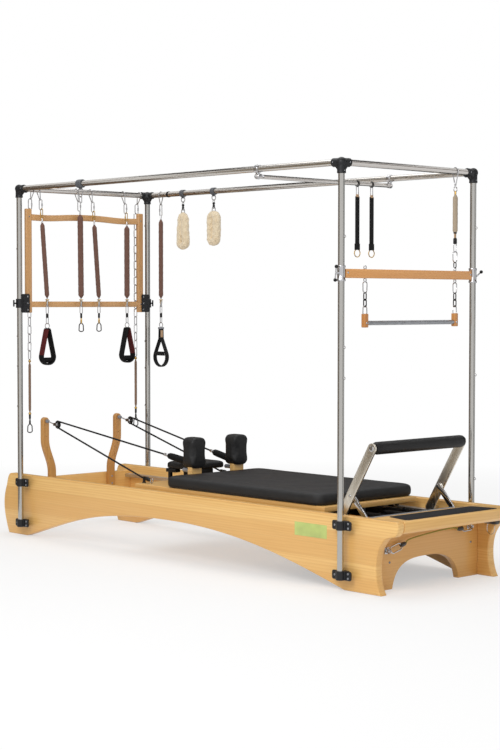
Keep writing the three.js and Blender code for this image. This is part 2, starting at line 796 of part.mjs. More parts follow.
// Rope risers: curved posts on the head end board
function riserPath(sy, height) {
  const rise = (height - riserBendLow) / (riserBendHigh - riserBendLow);
  const share = Math.min(Math.max(rise, 0), 1);
  const ease = share * share * (3 - 2 * share);
  return sy * (riserBase + riserSpread * ease);
}
function riser(sy) {
  const steps = 8;
  const left = [];
  const right = [];
  for (let i = 0; i <= steps; i += 1) {
    const height = riserBottom + (i / steps) * (riserTop - riserWide * half - riserBottom);
    left.push([riserPath(sy, height) - riserWide * half, height]);
    right.push([riserPath(sy, height) + riserWide * half, height]);
  }
  const outline = new THREE.Shape();
  outline.moveTo(...right[0]);
  right.slice(1).forEach((point) => outline.lineTo(...point));
  const crown = right[right.length - 1];
  outline.absarc(crown[0] - riserWide * half, crown[1], riserWide * half, 0, Math.PI, false);
  left.reverse().forEach((point) => outline.lineTo(...point));
  outline.closePath();
  const face = -headBoardInner + gap;
  const post = plateYZ(outline, face, face + riserThick, 5);
  const holes = [0.45, 0.6, 0.75].map((share) => {
    const height = riserBottom + share * (riserTop - riserBottom);
    const y = riserPath(sy, height);
    return rod([face - overrun, y, height], [face + riserThick + overrun, y, height],
      riserHoleRadius, 6);
  });
  return cut(post, holes);
}
piece('riser_front', riser(-1), goldenWood);
piece('riser_back', riser(1), goldenWood);

// Pulley hangers: knob on the riser, link, and two cheeks that carry the wheel's axle
const riserFace = -headBoardInner + gap + riserThick;
const pulleyX = riserFace + pulleyReach;
const pulleyY = riserBase + riserSpread;
function pulleyHanger() {
  const knobHeight = riserTop - riserWide * half - pulleyHeight;
  const knobEnd = gap + knobLength;
  const cheekIn = pulleyWidth * half + gap;
  const cheekOut = cheekIn + cheekThick;
  const yokeEnd = pulleyReach - pulleyRadius - cheekHalf;
  const yoke = boxBetween([yokeEnd - 2 * cheekThick, -cheekOut, -cheekHalf],
    [yokeEnd, cheekOut, cheekHalf]);
  const cheeks = [-1, 1].map((side) => boxBetween(
    [yokeEnd - overlap, Math.min(side * cheekIn, side * cheekOut), -cheekHalf],
    [pulleyReach + cheekHalf, Math.max(side * cheekIn, side * cheekOut), cheekHalf],
  ));
  return join([
    rod([gap, 0, knobHeight], [knobEnd, 0, knobHeight], knobRadius, 12),
    rod([knobEnd - overlap, 0, knobHeight], [yokeEnd - cheekThick, 0, 0], axleRadius, 6),
    yoke,
    ...cheeks,
    rod([pulleyReach, -cheekOut, 0], [pulleyReach, cheekOut, 0], axleRadius, 10),
  ]);
}
function pulleyWheel() {
  const rim = pulleyRadius;
  const groove = pulleyRadius - grooveDepth;
  const side = pulleyWidth * half;
  const lip = side * 0.86;
  const floor = side * half;
  const wheel = turned([[rim, side], [rim, lip], [groove, floor], [groove, -floor],
    [rim, -lip], [rim, -side]], [0, 0], 12).rotateX(quarterTurn);
  const reach = side + overrun;
  return cut(wheel, [rod([0, -reach, 0], [0, reach, 0], axleRadius + axleClearance, 10)]);
}
[['front', -1], ['back', 1]].forEach(([side, sy]) => {
  piece(`pulley_hanger_${side}`, pulleyHanger(), chrome, [riserFace, sy * pulleyY, pulleyHeight]);
  piece(`pulley_wheel_${side}`, pulleyWheel(), blackMetal, [pulleyX, sy * pulleyY, pulleyHeight]);
});

// Ropes: from the post at the carriage's corner, round the pulley, to the shoulder rest's strap
function rope(sy) {
  const ride = pulleyRadius - grooveDepth + ropeRadius + ropeLift;
  const postX = boardHead + ropePostInset - ropePostRadius - ropeRadius - gap;
  const points = [[postX, sy * ropePostPlace, boardTop + ropePostTall - ropePostRadius]];
  const lower = -0.42 * Math.PI;
  const upper = -1.52 * Math.PI;
  for (let i = 0; i <= ropeWrapSteps; i += 1) {
    const angle = lower + (i / ropeWrapSteps) * (upper - lower);
    points.push([pulleyX + ride * Math.cos(angle), sy * pulleyY,
      pulleyHeight + ride * Math.sin(angle)]);
  }
  const restFace = restPlace - restDepth * half - gap;
  const gripEnd = [restFace - ropeGripLong, sy * restSpread, restBottom + ropeGripRise];
  points.push(gripEnd);
  const grip = rod([gripEnd[0] - overlap, gripEnd[1], gripEnd[2]],
    [restFace, gripEnd[1], gripEnd[2]], ropeGripRadius, 10);
  return join([tube(points, ropeRadius, [0, 1, 0]), grip]);
}
piece('rope_front', rope(-1), ropeBlack);
piece('rope_back', rope(1), ropeBlack);

// Carriage board with its blocks, posts and axle plates
const springHead = boardFoot + springOutset;
const axleHeight = trackTop + gap + rollerRadius;
function carriageBoard() {
  const bottom = boardTop - boardThick;
  const shapes = [boxBetween([boardHead, -boardHalf, bottom], [boardFoot, boardHalf, boardTop])];
  [-1, 1].forEach((sy) => {
    const blockFoot = matHead - gap - overlap;
    shapes.push(boxBetween(
      [blockFoot - blockDepth, sy * restSpread - blockWide * half, boardTop - overlap],
      [blockFoot, sy * restSpread + blockWide * half, restBottom - gap],
    ));
    const postX = boardHead + ropePostInset;
    shapes.push(rod([postX, sy * ropePostPlace, boardTop - overlap],
      [postX, sy * ropePostPlace, boardTop + ropePostTall], ropePostRadius, 10));
    rollerAxles.forEach((x) => {
      const [long, thick] = axlePlate;
      shapes.push(boxBetween([x - long * half, sy * axlePlatePlace - thick * half, axlePlateBottom],
        [x + long * half, sy * axlePlatePlace + thick * half, bottom + overlap]));
    });
  });
  shapes.push(boxBetween([headrestHead + headrestBlockInset, -headrestBlockHalf, boardTop - overlap],
    [headrestFoot - hingeInset, headrestBlockHalf, headrestBottom - gap]));
  springPlaces.forEach((y) => {
    shapes.push(boxBetween([springHead - springEnd - anchorLong, y - springRadius, anchorBottom],
      [springHead - springEnd, y + springRadius, bottom + overlap]));
  });
  const holes = rollerAxles.map((x) => rod([x, -boardHalf, axleHeight], [x, boardHalf, axleHeight],
    axleShaft + pinClearance, 10));
  return cut(join(shapes), holes);
}
piece('carriage_board', carriageBoard(), maple);

// Roller axles: a shaft with one roller at each end
rollerAxles.forEach((x, i) => {
  const inner = rollerPlace - rollerWide * half;
  const outer = rollerPlace + rollerWide * half;
  const shape = join([
    rod([0, -outer, 0], [0, outer, 0], axleShaft, 10),
    rod([0, -outer, 0], [0, -inner, 0], rollerRadius, 12),
    rod([0, inner, 0], [0, outer, 0], rollerRadius, 12),
  ]);
  piece(i === 0 ? 'roller_axle_head' : 'roller_axle_foot', shape, blackMetal, [x, 0, axleHeight]);
});

// Cushions of the carriage
piece('carriage_mat',
  cushion((matFoot - matHead) * half, matHalf, matThick, matRound, matEdge, 4), vinyl,
  [(matFoot + matHead) * half, 0, boardTop + gap]);
piece('headrest_pad',
  cushion((headrestFoot - headrestHead) * half, headrestHalf, headrestThick, headrestRound,
    padEdge),
  vinyl, [(headrestFoot + headrestHead) * half, 0, headrestBottom]);
[['front', -1], ['back', 1]].forEach(([side, sy]) => {
  piece(`shoulder_rest_${side}`,
    cushion(restDepth * half, restWide * half, restTall, restRound, padEdge), vinyl,
    [restPlace, sy * restSpread, restBottom]);
});

// Springs under the carriage, each with a straight hook end
const springFoot = springBarPlace - springBarReach;
springPlaces.forEach((y, i) => {
  const z = springAxisHeight;
  const plug = springRadius + springWire * 0.7;
  const seat = 2 * springWire;
  const hookStart = springFoot + seat + overlap;
  const shape = join([
    coil([springHead, y, z], [springFoot, y, z], springRadius, springWire, springCurls),
    rod([springHead - springEnd + gap, y, z], [springHead + seat, y, z], plug, 8),
    rod([springFoot - seat, y, z], [hookStart, y, z], plug, 8),
    rod([hookStart - overlap, y, z], [springBarPlace - springBarRadius - gap, y, z],
      seat, 6),
  ]);
  piece(`carriage_spring_${i + 1}`, shape, brassSpring);
});

// Foot bar: two arms on pins in the side rails, joined by the roll's core
const [pivotX, pivotZ] = pivotPlace;
const [rollX, rollZ] = rollPlace;
const strutPinX = pivotX + strutShare * (rollX - pivotX);
const strutPinZ = pivotZ + strutShare * (rollZ - pivotZ);
function barPlate(from, to, wide, innerY, outerY) {
  const low = Math.min(innerY, outerY);
  const high = Math.max(innerY, outerY);
  const run = new THREE.Vector2(to[0] - from[0], to[1] - from[1]);
  const angle = run.angle();
  const outline = new THREE.Shape();
  outline.absarc(...from, wide * half, angle + quarterTurn, angle + 3 * quarterTurn, false);
  outline.absarc(...to, wide * half, angle - quarterTurn, angle + quarterTurn, false);
  outline.closePath();
  return plateXZ(outline, low, high, 6);
}
function footbarFrame() {
  const shapes = [rod([rollX, -armSpread, rollZ], [rollX, armSpread, rollZ], rollCore, 12)];
  const holes = [];
  [-1, 1].forEach((sy) => {
    const inner = sy * (armSpread - armThick * half);
    const outer = sy * (armSpread + armThick * half);
    shapes.push(barPlate(pivotPlace, rollPlace, armWide, inner, outer));
    shapes.push(rod([pivotX, inner, pivotZ], [pivotX, sy * (railInner + pinDepth), pivotZ],
      pinRadius, 10));
    shapes.push(rod([rollX, outer - sy * overlap, rollZ], [rollX, outer + sy * rollCap, rollZ],
      rollCapRadius, 10));
    holes.push(rod([strutPinX, inner - sy * overrun, strutPinZ],
      [strutPinX, outer + sy * overrun, strutPinZ], strutPin + gap, 10));
  });
  return cut(join(shapes), holes);
}
piece('footbar_frame', footbarFrame(), chrome);

// Padded roll round the core
function footbarPad() {
  const end = rollHalf;
  const inner = rollRadius - rollEdge;
  const corner = rollEdge * 0.3;
  const bore = rollCore + gap;
  const profile = [[bore, -end], [inner, -end], [rollRadius - corner, corner - end],
    [rollRadius, rollEdge - end], [rollRadius, end - rollEdge], [rollRadius - corner, end - corner],
    [inner, end], [bore, end], [bore, -end]];
  const shape = new THREE.LatheGeometry(profile.map(([r, y]) => new THREE.Vector2(r, y)), 16);
  return shape.translate(rollX, 0, rollZ);
}
piece('footbar_pad', footbarPad(), vinyl);

// Struts joined by the rod that rests on the notched blocks
function footbarStrut() {
  const plateOuter = armSpread - armThick * half - gap;
  const shapes = [rod([strutFootPlace[0], -plateOuter, strutFootPlace[1]],
    [strutFootPlace[0], plateOuter, strutFootPlace[1]], strutRod, 10)];
  [-1, 1].forEach((sy) => {
    const outer = sy * plateOuter;
    const inner = sy * (plateOuter - strutThick);
    shapes.push(barPlate([strutPinX, strutPinZ], strutFootPlace, strutWide, inner, outer));
    shapes.push(rod([strutPinX, inner, strutPinZ], [strutPinX, outer + sy * (armThick + gap),
      strutPinZ], strutPin, 10));
  });
  const blocks = boxBetween(
    [strutFootPlace[0] - notchBlockLong, -armSpread, strutFootPlace[1] - strutWide],
    [strutFootPlace[0] + notchBlockLong, armSpread, strutFootPlace[1] - strutRod],
  );
  return cut(join(shapes), [blocks]);
}
piece('footbar_strut', footbarStrut(), chrome);

// Crossbar that slides under the front and back top rails, with a clamp at each end
function crossbar() {
  const clampGap = tubeRadius + gap;
  const end = halfSpread + crossbarEnd;
  const shapes = [rod([0, -end, 0], [0, end, 0], crossbarRadius, 12)];
  const bores = [];
  [-1, 1].forEach((sy) => {
    const y = sy * halfSpread;
    const long = railClampLong * half;
    const neck = railClampNeck * half;
    shapes.push(rod([-long, y, crossbarDrop], [long, y, crossbarDrop],
      clampGap + railClampWall, tubeSides));
    shapes.push(boxBetween([-neck, y - neck, -crossbarRadius], [neck, y + neck,
      crossbarDrop - clampGap]));
    bores.push(rod([-long - overrun, y, crossbarDrop], [long + overrun, y, crossbarDrop],
      clampGap, tubeSides));
  });
  return cut(join(shapes), bores);
}
const crossbarHeight = railHeight - crossbarDrop;
piece('crossbar', crossbar(), chrome, [crossbarPlace, 0, crossbarHeight]);

// Straps that hang from the crossbar: a loop over the bar, webbing, and a ring
function strap() {
  const webTop = -crossbarRadius - strapNeck;
  const webBottom = crossbarDrop - strapDrop;
  const eye = crossbarRadius + gap + ringWire;
  return join([
    ring([0, 0, -linkPlay], eye + linkPlay, ringWire, 'y', 1, 12),
    rod([0, 0, -eye - 2 * linkPlay], [0, 0, webTop - overlap], strapStem, 6),
    boxBetween([-strapThick * half, -strapWide * half, webBottom],
      [strapThick * half, strapWide * half, webTop]),
    ring([0, 0, webBottom + overlap - strapRing], strapRing, ringWire, 'x'),
  ]);
}
strapPlaces.forEach((y, i) => {
  piece(`strap_${i + 1}`, strap(), ropeBlack, [crossbarPlace, y, crossbarHeight]);
});

// Push-through slat with its two upright clamps, T-handles and eyebolts
const clampInner = halfSpread - slatClampRadius;
const eyeTop = slatHeight + slatTall * half + 2 * slatEyeRadius;
const eyeBottom = slatHeight - slatTall * half - 2 * slatEyeRadius;
function slatEye(y) {
  return [
    ring([0, y, eyeTop - slatEyeRadius], slatEyeRadius, ringWire, 'x', 1, 8),
    ring([0, y, eyeBottom + slatEyeRadius], slatEyeRadius, ringWire, 'x', 1, 8),
  ];
}
const slatEyes = [eyeShareFront, eyeShareBack].map((share) => -halfSpread + share * uprightSpread);
function pushSlat() {
  const t = slatThick * half;
  const shapes = [boxBetween([-t, -clampInner, slatHeight - slatTall * half],
    [t, clampInner, slatHeight + slatTall * half])];
  const bores = [];
  [-1, 1].forEach((sy) => {
    const y = sy * halfSpread;
    const low = slatHeight - slatClampTall * half;
    const high = slatHeight + slatClampTall * half;
    const sleeveEnd = sy * (clampInner - slatSleeveLong);
    shapes.push(rod([0, y, low], [0, y, high], slatClampRadius, tubeSides));
    shapes.push(boxBetween(
      [-t - slatSleeveWall, Math.min(y, sleeveEnd), slatHeight - slatTall * half - slatSleeveWall],
      [t + slatSleeveWall, Math.max(y, sleeveEnd), slatHeight + slatTall * half + slatSleeveWall],
    ));
    const out = y + sy * (slatClampRadius - overlap);
    const end = y + sy * handleReach;
    shapes.push(rod([0, out, slatHeight], [0, end, slatHeight], handleStem, 8));
    shapes.push(rod([0, end, slatHeight - handleHalf], [0, end, slatHeight + handleHalf],
      handleBar, 8));
    [-1, 1].forEach((up) => {
      const ball = new THREE.SphereGeometry(handleBall, 6, 4);
      shapes.push(ball.translate(0, end, slatHeight + up * handleHalf));
    });
    bores.push(rod([0, y, low - overrun], [0, y, high + overrun], tubeRadius + gap, tubeSides));
  });
  slatEyes.forEach((y) => shapes.push(...slatEye(y)));
  return cut(join(shapes), bores);
}
piece('push_slat', pushSlat(), orangeWood, [halfSpan, 0, 0]);

// Chain as a bar with a waist at each link
function chain(x, y, top, bottom, radius = chainRadius) {
  const links = Math.max(1, Math.round((top - bottom) / chainPitch));
  const profile = [];
  for (let i = 0; i <= links * 2; i += 1) {
    const z = top + (i / (links * 2)) * (bottom - top);
    profile.push([i % 2 ? radius : radius * half, z]);
  }
  return turned(profile, [x, y], 4);
}

// Trapeze: two rings in the slat's eyes, two chains, wood blocks and a bar
const trapezeHeight = slatHeight - trapezeDrop;
function trapeze() {
  const shapes = [rod([0, slatEyes[0], trapezeHeight], [0, slatEyes[1], trapezeHeight],
    trapezeRadius, 12)];
  const [long, wide, tall] = trapezeBlock;
  const blockTop = trapezeHeight + tall * trapezeBarShare;
  slatEyes.forEach((y) => {
    shapes.push(boxBetween([-long * half, y - wide * half, blockTop - tall],
      [long * half, y + wide * half, blockTop]));
    const linkTop = eyeBottom + linkedRings;
    shapes.push(link(0, y, linkTop, linkTop - 2 * trapezeLink, trapezeLink, 'y'));
    shapes.push(chain(0, y, linkTop - 2 * trapezeLink, blockTop - overlap));
  });
  return join(shapes);
}
piece('trapeze', trapeze(), chrome, [halfSpan, 0, 0]);

// Ring that hangs on a top rail: its top rests on the tube
const ringDrop = ringRadius - tubeRadius - ringWire - hangGap;
const ringBottom = -ringDrop - ringRadius;
function hangingRing(facing) {
  return ring([0, 0, -ringDrop], ringRadius, ringWire, facing, 1, 12);
}

// Spring above the slat's far eye, hung from the foot end rail
function slatSpring() {
  const r = slatSpringRadius;
  const pin = slatSpringPin;
  const hookBottom = eyeTop - railHeight - linkedRings;
  const swivelTop = hookBottom + 2 * slatEyeRadius;
  const [neckTop, top, ferruleTop, ferruleBottom, ferruleNeck, pinBottom] =
    slatSpringShares.map((share) => swivelTop + share * (ringBottom - swivelTop));
  return join([
    hangingRing('y'),
    link(0, 0, ringBottom, neckTop - overlap, r, 'x'),
    turned([[pin, neckTop], [r, top], [r, ferruleTop], [r + overlap, ferruleTop - overlap],
      [r + overlap, ferruleBottom], [pin, ferruleNeck], [pin, pinBottom]], [0, 0], 10),
    link(0, 0, pinBottom + overlap, swivelTop, r, 'x'),
    link(0, 0, swivelTop, hookBottom, slatEyeRadius, 'y'),
  ]);
}
piece('slat_spring', slatSpring(), beigeSleeve, [halfSpan, slatEyes[1], railHeight]);

// Wooden frame at the head end: two stiles, a waved upper bar and a lower bar
const frameTop = railHeight - frameDrop;
const frameBottom = frameTop - frameTall;
function headFrame() {
  const [upperTop, lowerTop] = crossDrops.map((drop) => frameTop - drop);
  const t = frameThick * half;
  const shapes = [];
  [-1, 1].forEach((sy) => {
    const outer = sy * frameHalf;
    const inner = sy * (frameHalf - stileWide);
    shapes.push(boxBetween([-t, Math.min(outer, inner), frameBottom],
      [t, Math.max(outer, inner), frameTop]));
  });
  const reach = frameHalf - stileWide + overlap;
  const wave = new THREE.Shape();
  const dip = crossTall * waveShare;
  wave.moveTo(-reach, upperTop - crossTall);
  wave.bezierCurveTo(-reach * half, upperTop - crossTall - dip, -reach * half,
    upperTop - crossTall + dip, 0, upperTop - crossTall + dip);
  wave.bezierCurveTo(reach * half, upperTop - crossTall + dip, reach * half,
    upperTop - crossTall - dip, reach, upperTop - crossTall);
  wave.lineTo(reach, upperTop);
  wave.bezierCurveTo(reach * half, upperTop - dip, reach * half, upperTop + dip, 0, upperTop + dip);
  wave.bezierCurveTo(-reach * half, upperTop + dip, -reach * half, upperTop - dip, -reach, upperTop);
  wave.closePath();
  shapes.push(plateYZ(wave, -t, t, 5));
  shapes.push(boxBetween([-t, -reach, lowerTop - crossTall], [t, reach, lowerTop]));
  return join(shapes);
}
piece('head_frame', headFrame(), goldenWood, [-halfSpan, 0, 0]);

// Brackets that clamp the frame to the head uprights, each with a clamp knob
function headBracket(sy) {
  const y = sy * halfSpread;
  const z = frameBottom + frameBracketRise;
  const low = z - frameBracketTall * half;
  const high = z + frameBracketTall * half;
  const tongue = sy * (frameHalf - stileWide * half);
  const faceX = frameThick * half + gap;
  const knobEnd = y + sy * knobReach;
  const collar = bracketCollar * half;
  const shapes = [
    rod([0, y, z - collar], [0, y, z + collar], tubeRadius + gap + bracketWall, tubeSides),
    boxBetween([faceX, Math.min(tongue, y), low], [faceX + bracketPlate, Math.max(tongue, y), high]),
    boxBetween([0, Math.min(y, y - sy * bracketWeb), z - collar],
      [faceX + bracketPlate, Math.max(y, y - sy * bracketWeb), z + collar]),
    rod([0, y + sy * tubeRadius, z], [0, knobEnd, z], knobBar, 8),
    rod([0, knobEnd, z - knobHalf], [0, knobEnd, z + knobHalf], knobBar, 8),
  ];
  const bore = rod([0, y, low - overrun], [0, y, high + overrun], tubeRadius + gap, tubeSides);
  return cut(join(shapes), [bore]);
}
[['front', -1], ['back', 1]].forEach(([side, sy]) => {
  piece(`head_bracket_${side}`, headBracket(sy), blackMetal, [-halfSpan, 0, 0]);
});

// Sleeved spring with its swivel: a turned body between two heights below the rail's axis
function sleeve(x, y, top, bottom) {
  const r = sleeveRadius;
  const pin = r * 0.33;
  return turned([[pin, top + sleeveNeck + overlap], [pin, top + 2 * r], [r, top], [r, bottom],
    [pin, bottom - 2 * r], [pin, bottom - sleevePin]], [x, y], 8);
}

// Hand loop: a pear-shaped band that faces along X or Y
function handLoop(centre, top, facing) {
  const [x, y] = centre;
  const pear = (grow) => {
    const shape = new THREE.Shape();
    const w = handLoopWide * half - handLoopBand + grow;
    const neck = (handLoopBand + grow) * half;
    const foot = -handLoopTall + handLoopBand - grow;
    const head = -neck + grow;
    const tall = head - foot;
    shape.moveTo(-neck, head);
    shape.bezierCurveTo(-neck, head - 0.26 * tall, -w, foot + 0.45 * tall, -w, foot + 0.26 * tall);
    shape.quadraticCurveTo(-w, foot, -w * half, foot);
    shape.lineTo(w * half, foot);
    shape.quadraticCurveTo(w, foot, w, foot + 0.26 * tall);
    shape.bezierCurveTo(w, foot + 0.45 * tall, neck, head - 0.26 * tall, neck, head);
    shape.closePath();
    return shape;
  };
  const t = handLoopThick * half;
  const plate = facing === 'x' ? plateYZ : plateXZ;
  const band = cut(plate(pear(handLoopBand), -t, t, 4), [plate(pear(0), -t - overrun, t + overrun, 4)]);
  return band.translate([x, y, top]);
}

// Snap hook: an elongated ring under a swivel
function snapHook(x, y, top, facing = 'x') {
  const swivel = snapHookTall * 0.25;
  const waist = snapHookTall * half;
  return join([
    turned([[ringWire, top + overlap], [snapSwivelRadius, top - swivel * 0.3],
      [snapSwivelRadius, top - swivel], [ringWire, top - swivel - snapSwivelRadius],
      [ringWire, top - waist]], [x, y], 8),
    link(x, y, top - waist, top - snapHookTall, snapHookHalf, facing),
  ]);
}

function hangingSpring(x, y, drop, withLoop, facing) {
  const sleeveEnd = aboveBed(sleeveShare) - railHeight;
  const pinBottom = sleeveEnd - sleevePin;
  const hookTop = pinBottom - springLink;
  const shapes = [
    rod([0, 0, ringBottom], [x, y, sleeveNeck - drop], ringWire, 6),
    sleeve(x, y, -drop, sleeveEnd),
    link(x, y, pinBottom + overlap, hookTop, springLinkHalf, facing),
  ];
  if (withLoop) {
    const loopTop = hookTop - springStem;
    shapes.push(turned([[springStemRadius * half, hookTop + overlap],
      [springStemRadius, hookTop - springStem * 0.2], [springStemRadius, hookTop - springStem * half],
      [springStemRadius * half, hookTop - springStem * 0.9],
      [springStemRadius * half, loopTop - overlap]], [x, y], 6));
    shapes.push(handLoop([x, y], loopTop, facing));
  } else {
    shapes.push(snapHook(x, y, hookTop, facing));
  }
  return join(shapes);
}
headSpringPlaces.forEach((place, i) => {
  const hung = hangingSpring(hangOffset, 0, headSpringDrops[i], headSpringLoops[i], 'x');
  piece(`spring_${i + 1}`, join([hangingRing('y'), hung]), brownSleeve,
    [-halfSpan, place, railHeight]);
});
piece('spring_5', join([hangingRing('x'), hangingSpring(0, 0, footLoopDrop, true, 'y')]),
  brownSleeve, [footLoopPlace, halfSpread, railHeight]);

// Chains behind the stiles, each with a thin spring and a snap hook
function chainSpring() {
  const x = -chainOffset;
  const chainTop = ringBottom - chainSlope;
  const chainLow = aboveBed(chainShare) - railHeight;
  const springLow = aboveBed(thinSpringShare) - railHeight;
  const coilTop = chainLow - thinSpringPlug;
  const plug = thinSpringRadius + thinSpringWire * 0.7;
  const neck = plug * 0.35;
  return join([
    hangingRing('y'),
    rod([0, 0, ringBottom], [x, 0, chainTop - overlap], ringWire, 6),
    chain(x, 0, chainTop + overlap, chainLow),
    turned([[neck, chainLow + overlap], [plug, chainLow - thinSpringPlug * half],
      [plug, coilTop - 2 * thinSpringWire]], [x, 0], 8),
    coil([x, 0, coilTop], [x, 0, springLow], thinSpringRadius, thinSpringWire, thinSpringCurls),
    turned([[plug, springLow + 2 * thinSpringWire], [plug, springLow - thinSpringPlug * half],
      [neck, springLow - thinSpringPlug], [neck, springLow - 2 * thinSpringPlug]], [x, 0], 8),
    snapHook(x, 0, springLow - 2 * thinSpringPlug + overlap),
  ]);
}
['front', 'back'].forEach((side, i) => {
  piece(`chain_spring_${side}`, chainSpring(), brassSpring,
    [-halfSpan, chainPlaces[i], railHeight]);
});

// Sheepskin loops: a soft closed band under a strap and a ring on the back rail
function sheepskin() {
  const thick = sheepskinThick * half;
  const across = sheepskinWide * half - thick;
  const high = -sheepskinDrop - thick;
  const low = -sheepskinDrop - sheepskinTall + thick;
  const route = [];
  for (let i = 0; i < sheepskinSteps; i += 1) {
    const angle = (i / sheepskinSteps) * 2 * Math.PI;
    const end = Math.sin(angle) > 0 ? high - across : low + across;
    route.push([across * Math.cos(angle), 0, end + across * Math.sin(angle)]);
  }
  const stem = sheepskinStem;
  return join([
    hangingRing('x'),
    turned([[ringWire, ringBottom + overlap], [stem, ringBottom - 2 * stem],
      [stem, high]], [0, 0], 8),
    tube(route, thick, [0, 1, 0], 8, true),
  ]);
}
sheepskinPlaces.forEach((x, i) => {
  piece(`sheepskin_loop_${i + 1}`, sheepskin(), fleece, [x, halfSpread, railHeight]);
});

// The table stands on the floor, and its frame's origin is below the middle of its own box
const bounds = new THREE.Box3().setFromObject(table);
table.position.x = -(bounds.min.x + bounds.max.x) * half;

export default table;
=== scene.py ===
# %% [markdown]
# # Pilates trapeze table
# A wooden bed with a sliding carriage stands under a tower of steel tubes. The CAD model gives every
# size and joint. Here each piece gets the surface that the eye expects: wood, steel, vinyl and rope.

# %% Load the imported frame
import json
import math

import bpy
import numpy as np
from mathutils import Matrix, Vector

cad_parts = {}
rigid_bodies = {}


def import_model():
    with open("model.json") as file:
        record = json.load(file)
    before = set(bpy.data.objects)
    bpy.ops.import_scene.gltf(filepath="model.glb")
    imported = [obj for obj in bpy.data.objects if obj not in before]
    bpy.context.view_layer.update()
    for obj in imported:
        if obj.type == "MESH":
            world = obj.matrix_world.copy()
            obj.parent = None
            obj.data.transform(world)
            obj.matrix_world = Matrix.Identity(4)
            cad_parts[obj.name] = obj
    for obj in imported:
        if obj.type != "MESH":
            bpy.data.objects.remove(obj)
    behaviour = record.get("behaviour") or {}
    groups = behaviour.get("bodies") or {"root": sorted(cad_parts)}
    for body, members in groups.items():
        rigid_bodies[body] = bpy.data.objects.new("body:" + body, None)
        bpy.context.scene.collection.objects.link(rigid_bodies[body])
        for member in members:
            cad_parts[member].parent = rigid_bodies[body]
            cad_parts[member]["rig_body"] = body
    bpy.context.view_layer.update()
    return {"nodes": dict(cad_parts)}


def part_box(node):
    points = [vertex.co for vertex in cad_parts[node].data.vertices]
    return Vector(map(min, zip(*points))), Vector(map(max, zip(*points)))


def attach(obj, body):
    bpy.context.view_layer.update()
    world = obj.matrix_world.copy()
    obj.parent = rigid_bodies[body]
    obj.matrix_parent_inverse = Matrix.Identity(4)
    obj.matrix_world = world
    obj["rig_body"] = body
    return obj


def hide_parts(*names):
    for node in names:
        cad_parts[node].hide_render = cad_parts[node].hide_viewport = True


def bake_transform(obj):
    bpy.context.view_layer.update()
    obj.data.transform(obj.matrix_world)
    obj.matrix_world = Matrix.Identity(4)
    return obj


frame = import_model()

# %% [markdown]
# The pieces are placed by the boxes of the CAD nodes, so a new piece lies where the solid lies.
# A box's middle gives the axis of a tube, and its corners give the faces of a board.

# %% Boxes of the CAD nodes
def box(node):
    """Lowest and highest corner of a CAD node."""
    low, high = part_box(node)
    return np.array(low), np.array(high)


def middle(node):
    """Middle of a CAD node's box."""
    low, high = box(node)
    return (low + high) / 2


head_x, foot_x = middle("top_rail_head")[0], middle("top_rail_foot")[0]
back_y = middle("top_rail_back")[1]
rail_z = middle("top_rail_front")[2]
tube_radius = 0.013
bed_side, bed_top = box("side_rail_back")[1][1:]
rail_inner = box("side_rail_back")[0][1]
print("head and foot axes", round(head_x, 4), round(foot_x, 4), "bed top", round(bed_top, 3))

# %% [markdown]
# The camera stands where the photograph was taken from: at chest height, off the foot end's front
# corner, with a long lens. Its angles and place come from matching the tower's corners to the
# picture. The long side of the picture is the sensor's width.

# %% Camera
view_azimuth, view_pitch, view_roll = np.radians([46.932, -2.492, 0.037])
focal_pixels, picture_height = 1686.4, 750
camera_place = (5.6315, -5.180, 1.145)

forward = np.array([-math.sin(view_azimuth) * math.cos(view_pitch),
                    math.cos(view_azimuth) * math.cos(view_pitch), math.sin(view_pitch)])
level_right = np.array([math.cos(view_azimuth), math.sin(view_azimuth), 0])
level_up = np.cross(level_right, forward)
camera_right = math.cos(view_roll) * level_right + math.sin(view_roll) * level_up
camera_turn = np.eye(4)
camera_turn[:3, :3] = np.stack([camera_right, np.cross(camera_right, forward), -forward], 1)
camera_turn[:3, 3] = camera_place
camera = bpy.data.objects.new("camera", bpy.data.cameras.new("camera"))
bpy.context.scene.collection.objects.link(camera)
camera.matrix_world = Matrix(camera_turn.tolist())
camera.data.sensor_width = 36
camera.data.lens = focal_pixels / picture_height * camera.data.sensor_width
bpy.context.scene.camera = camera
print("lens", round(camera.data.lens, 2), "mm")

# %% [markdown]
# Every hard piece is a skin over rows of points. A row is a closed loop, such as the round section
# of a tube or the outline of a board, and the rows follow one another along the piece. Each skin also
# carries a flat map of its surface in metres, along and around, for the patterns of rope and cloth.

# %% Skins over rows of points
X, Y, Z = (1, 0, 0), (0, 1, 0), (0, 0, 1)    # directions of the frame's axes


def unit(vectors):
    """Vectors scaled to length one."""
    vectors = np.asarray(vectors, float)
    return vectors / np.maximum(np.linalg.norm(vectors, axis=-1, keepdims=True), 1e-12)


def step_sums(points):
    """Distance walked along a closed line of points, from zero to once round."""
    steps = np.linalg.norm(np.roll(points, -1, 0) - points, axis=1)
    return np.concatenate([[0], np.cumsum(steps)])


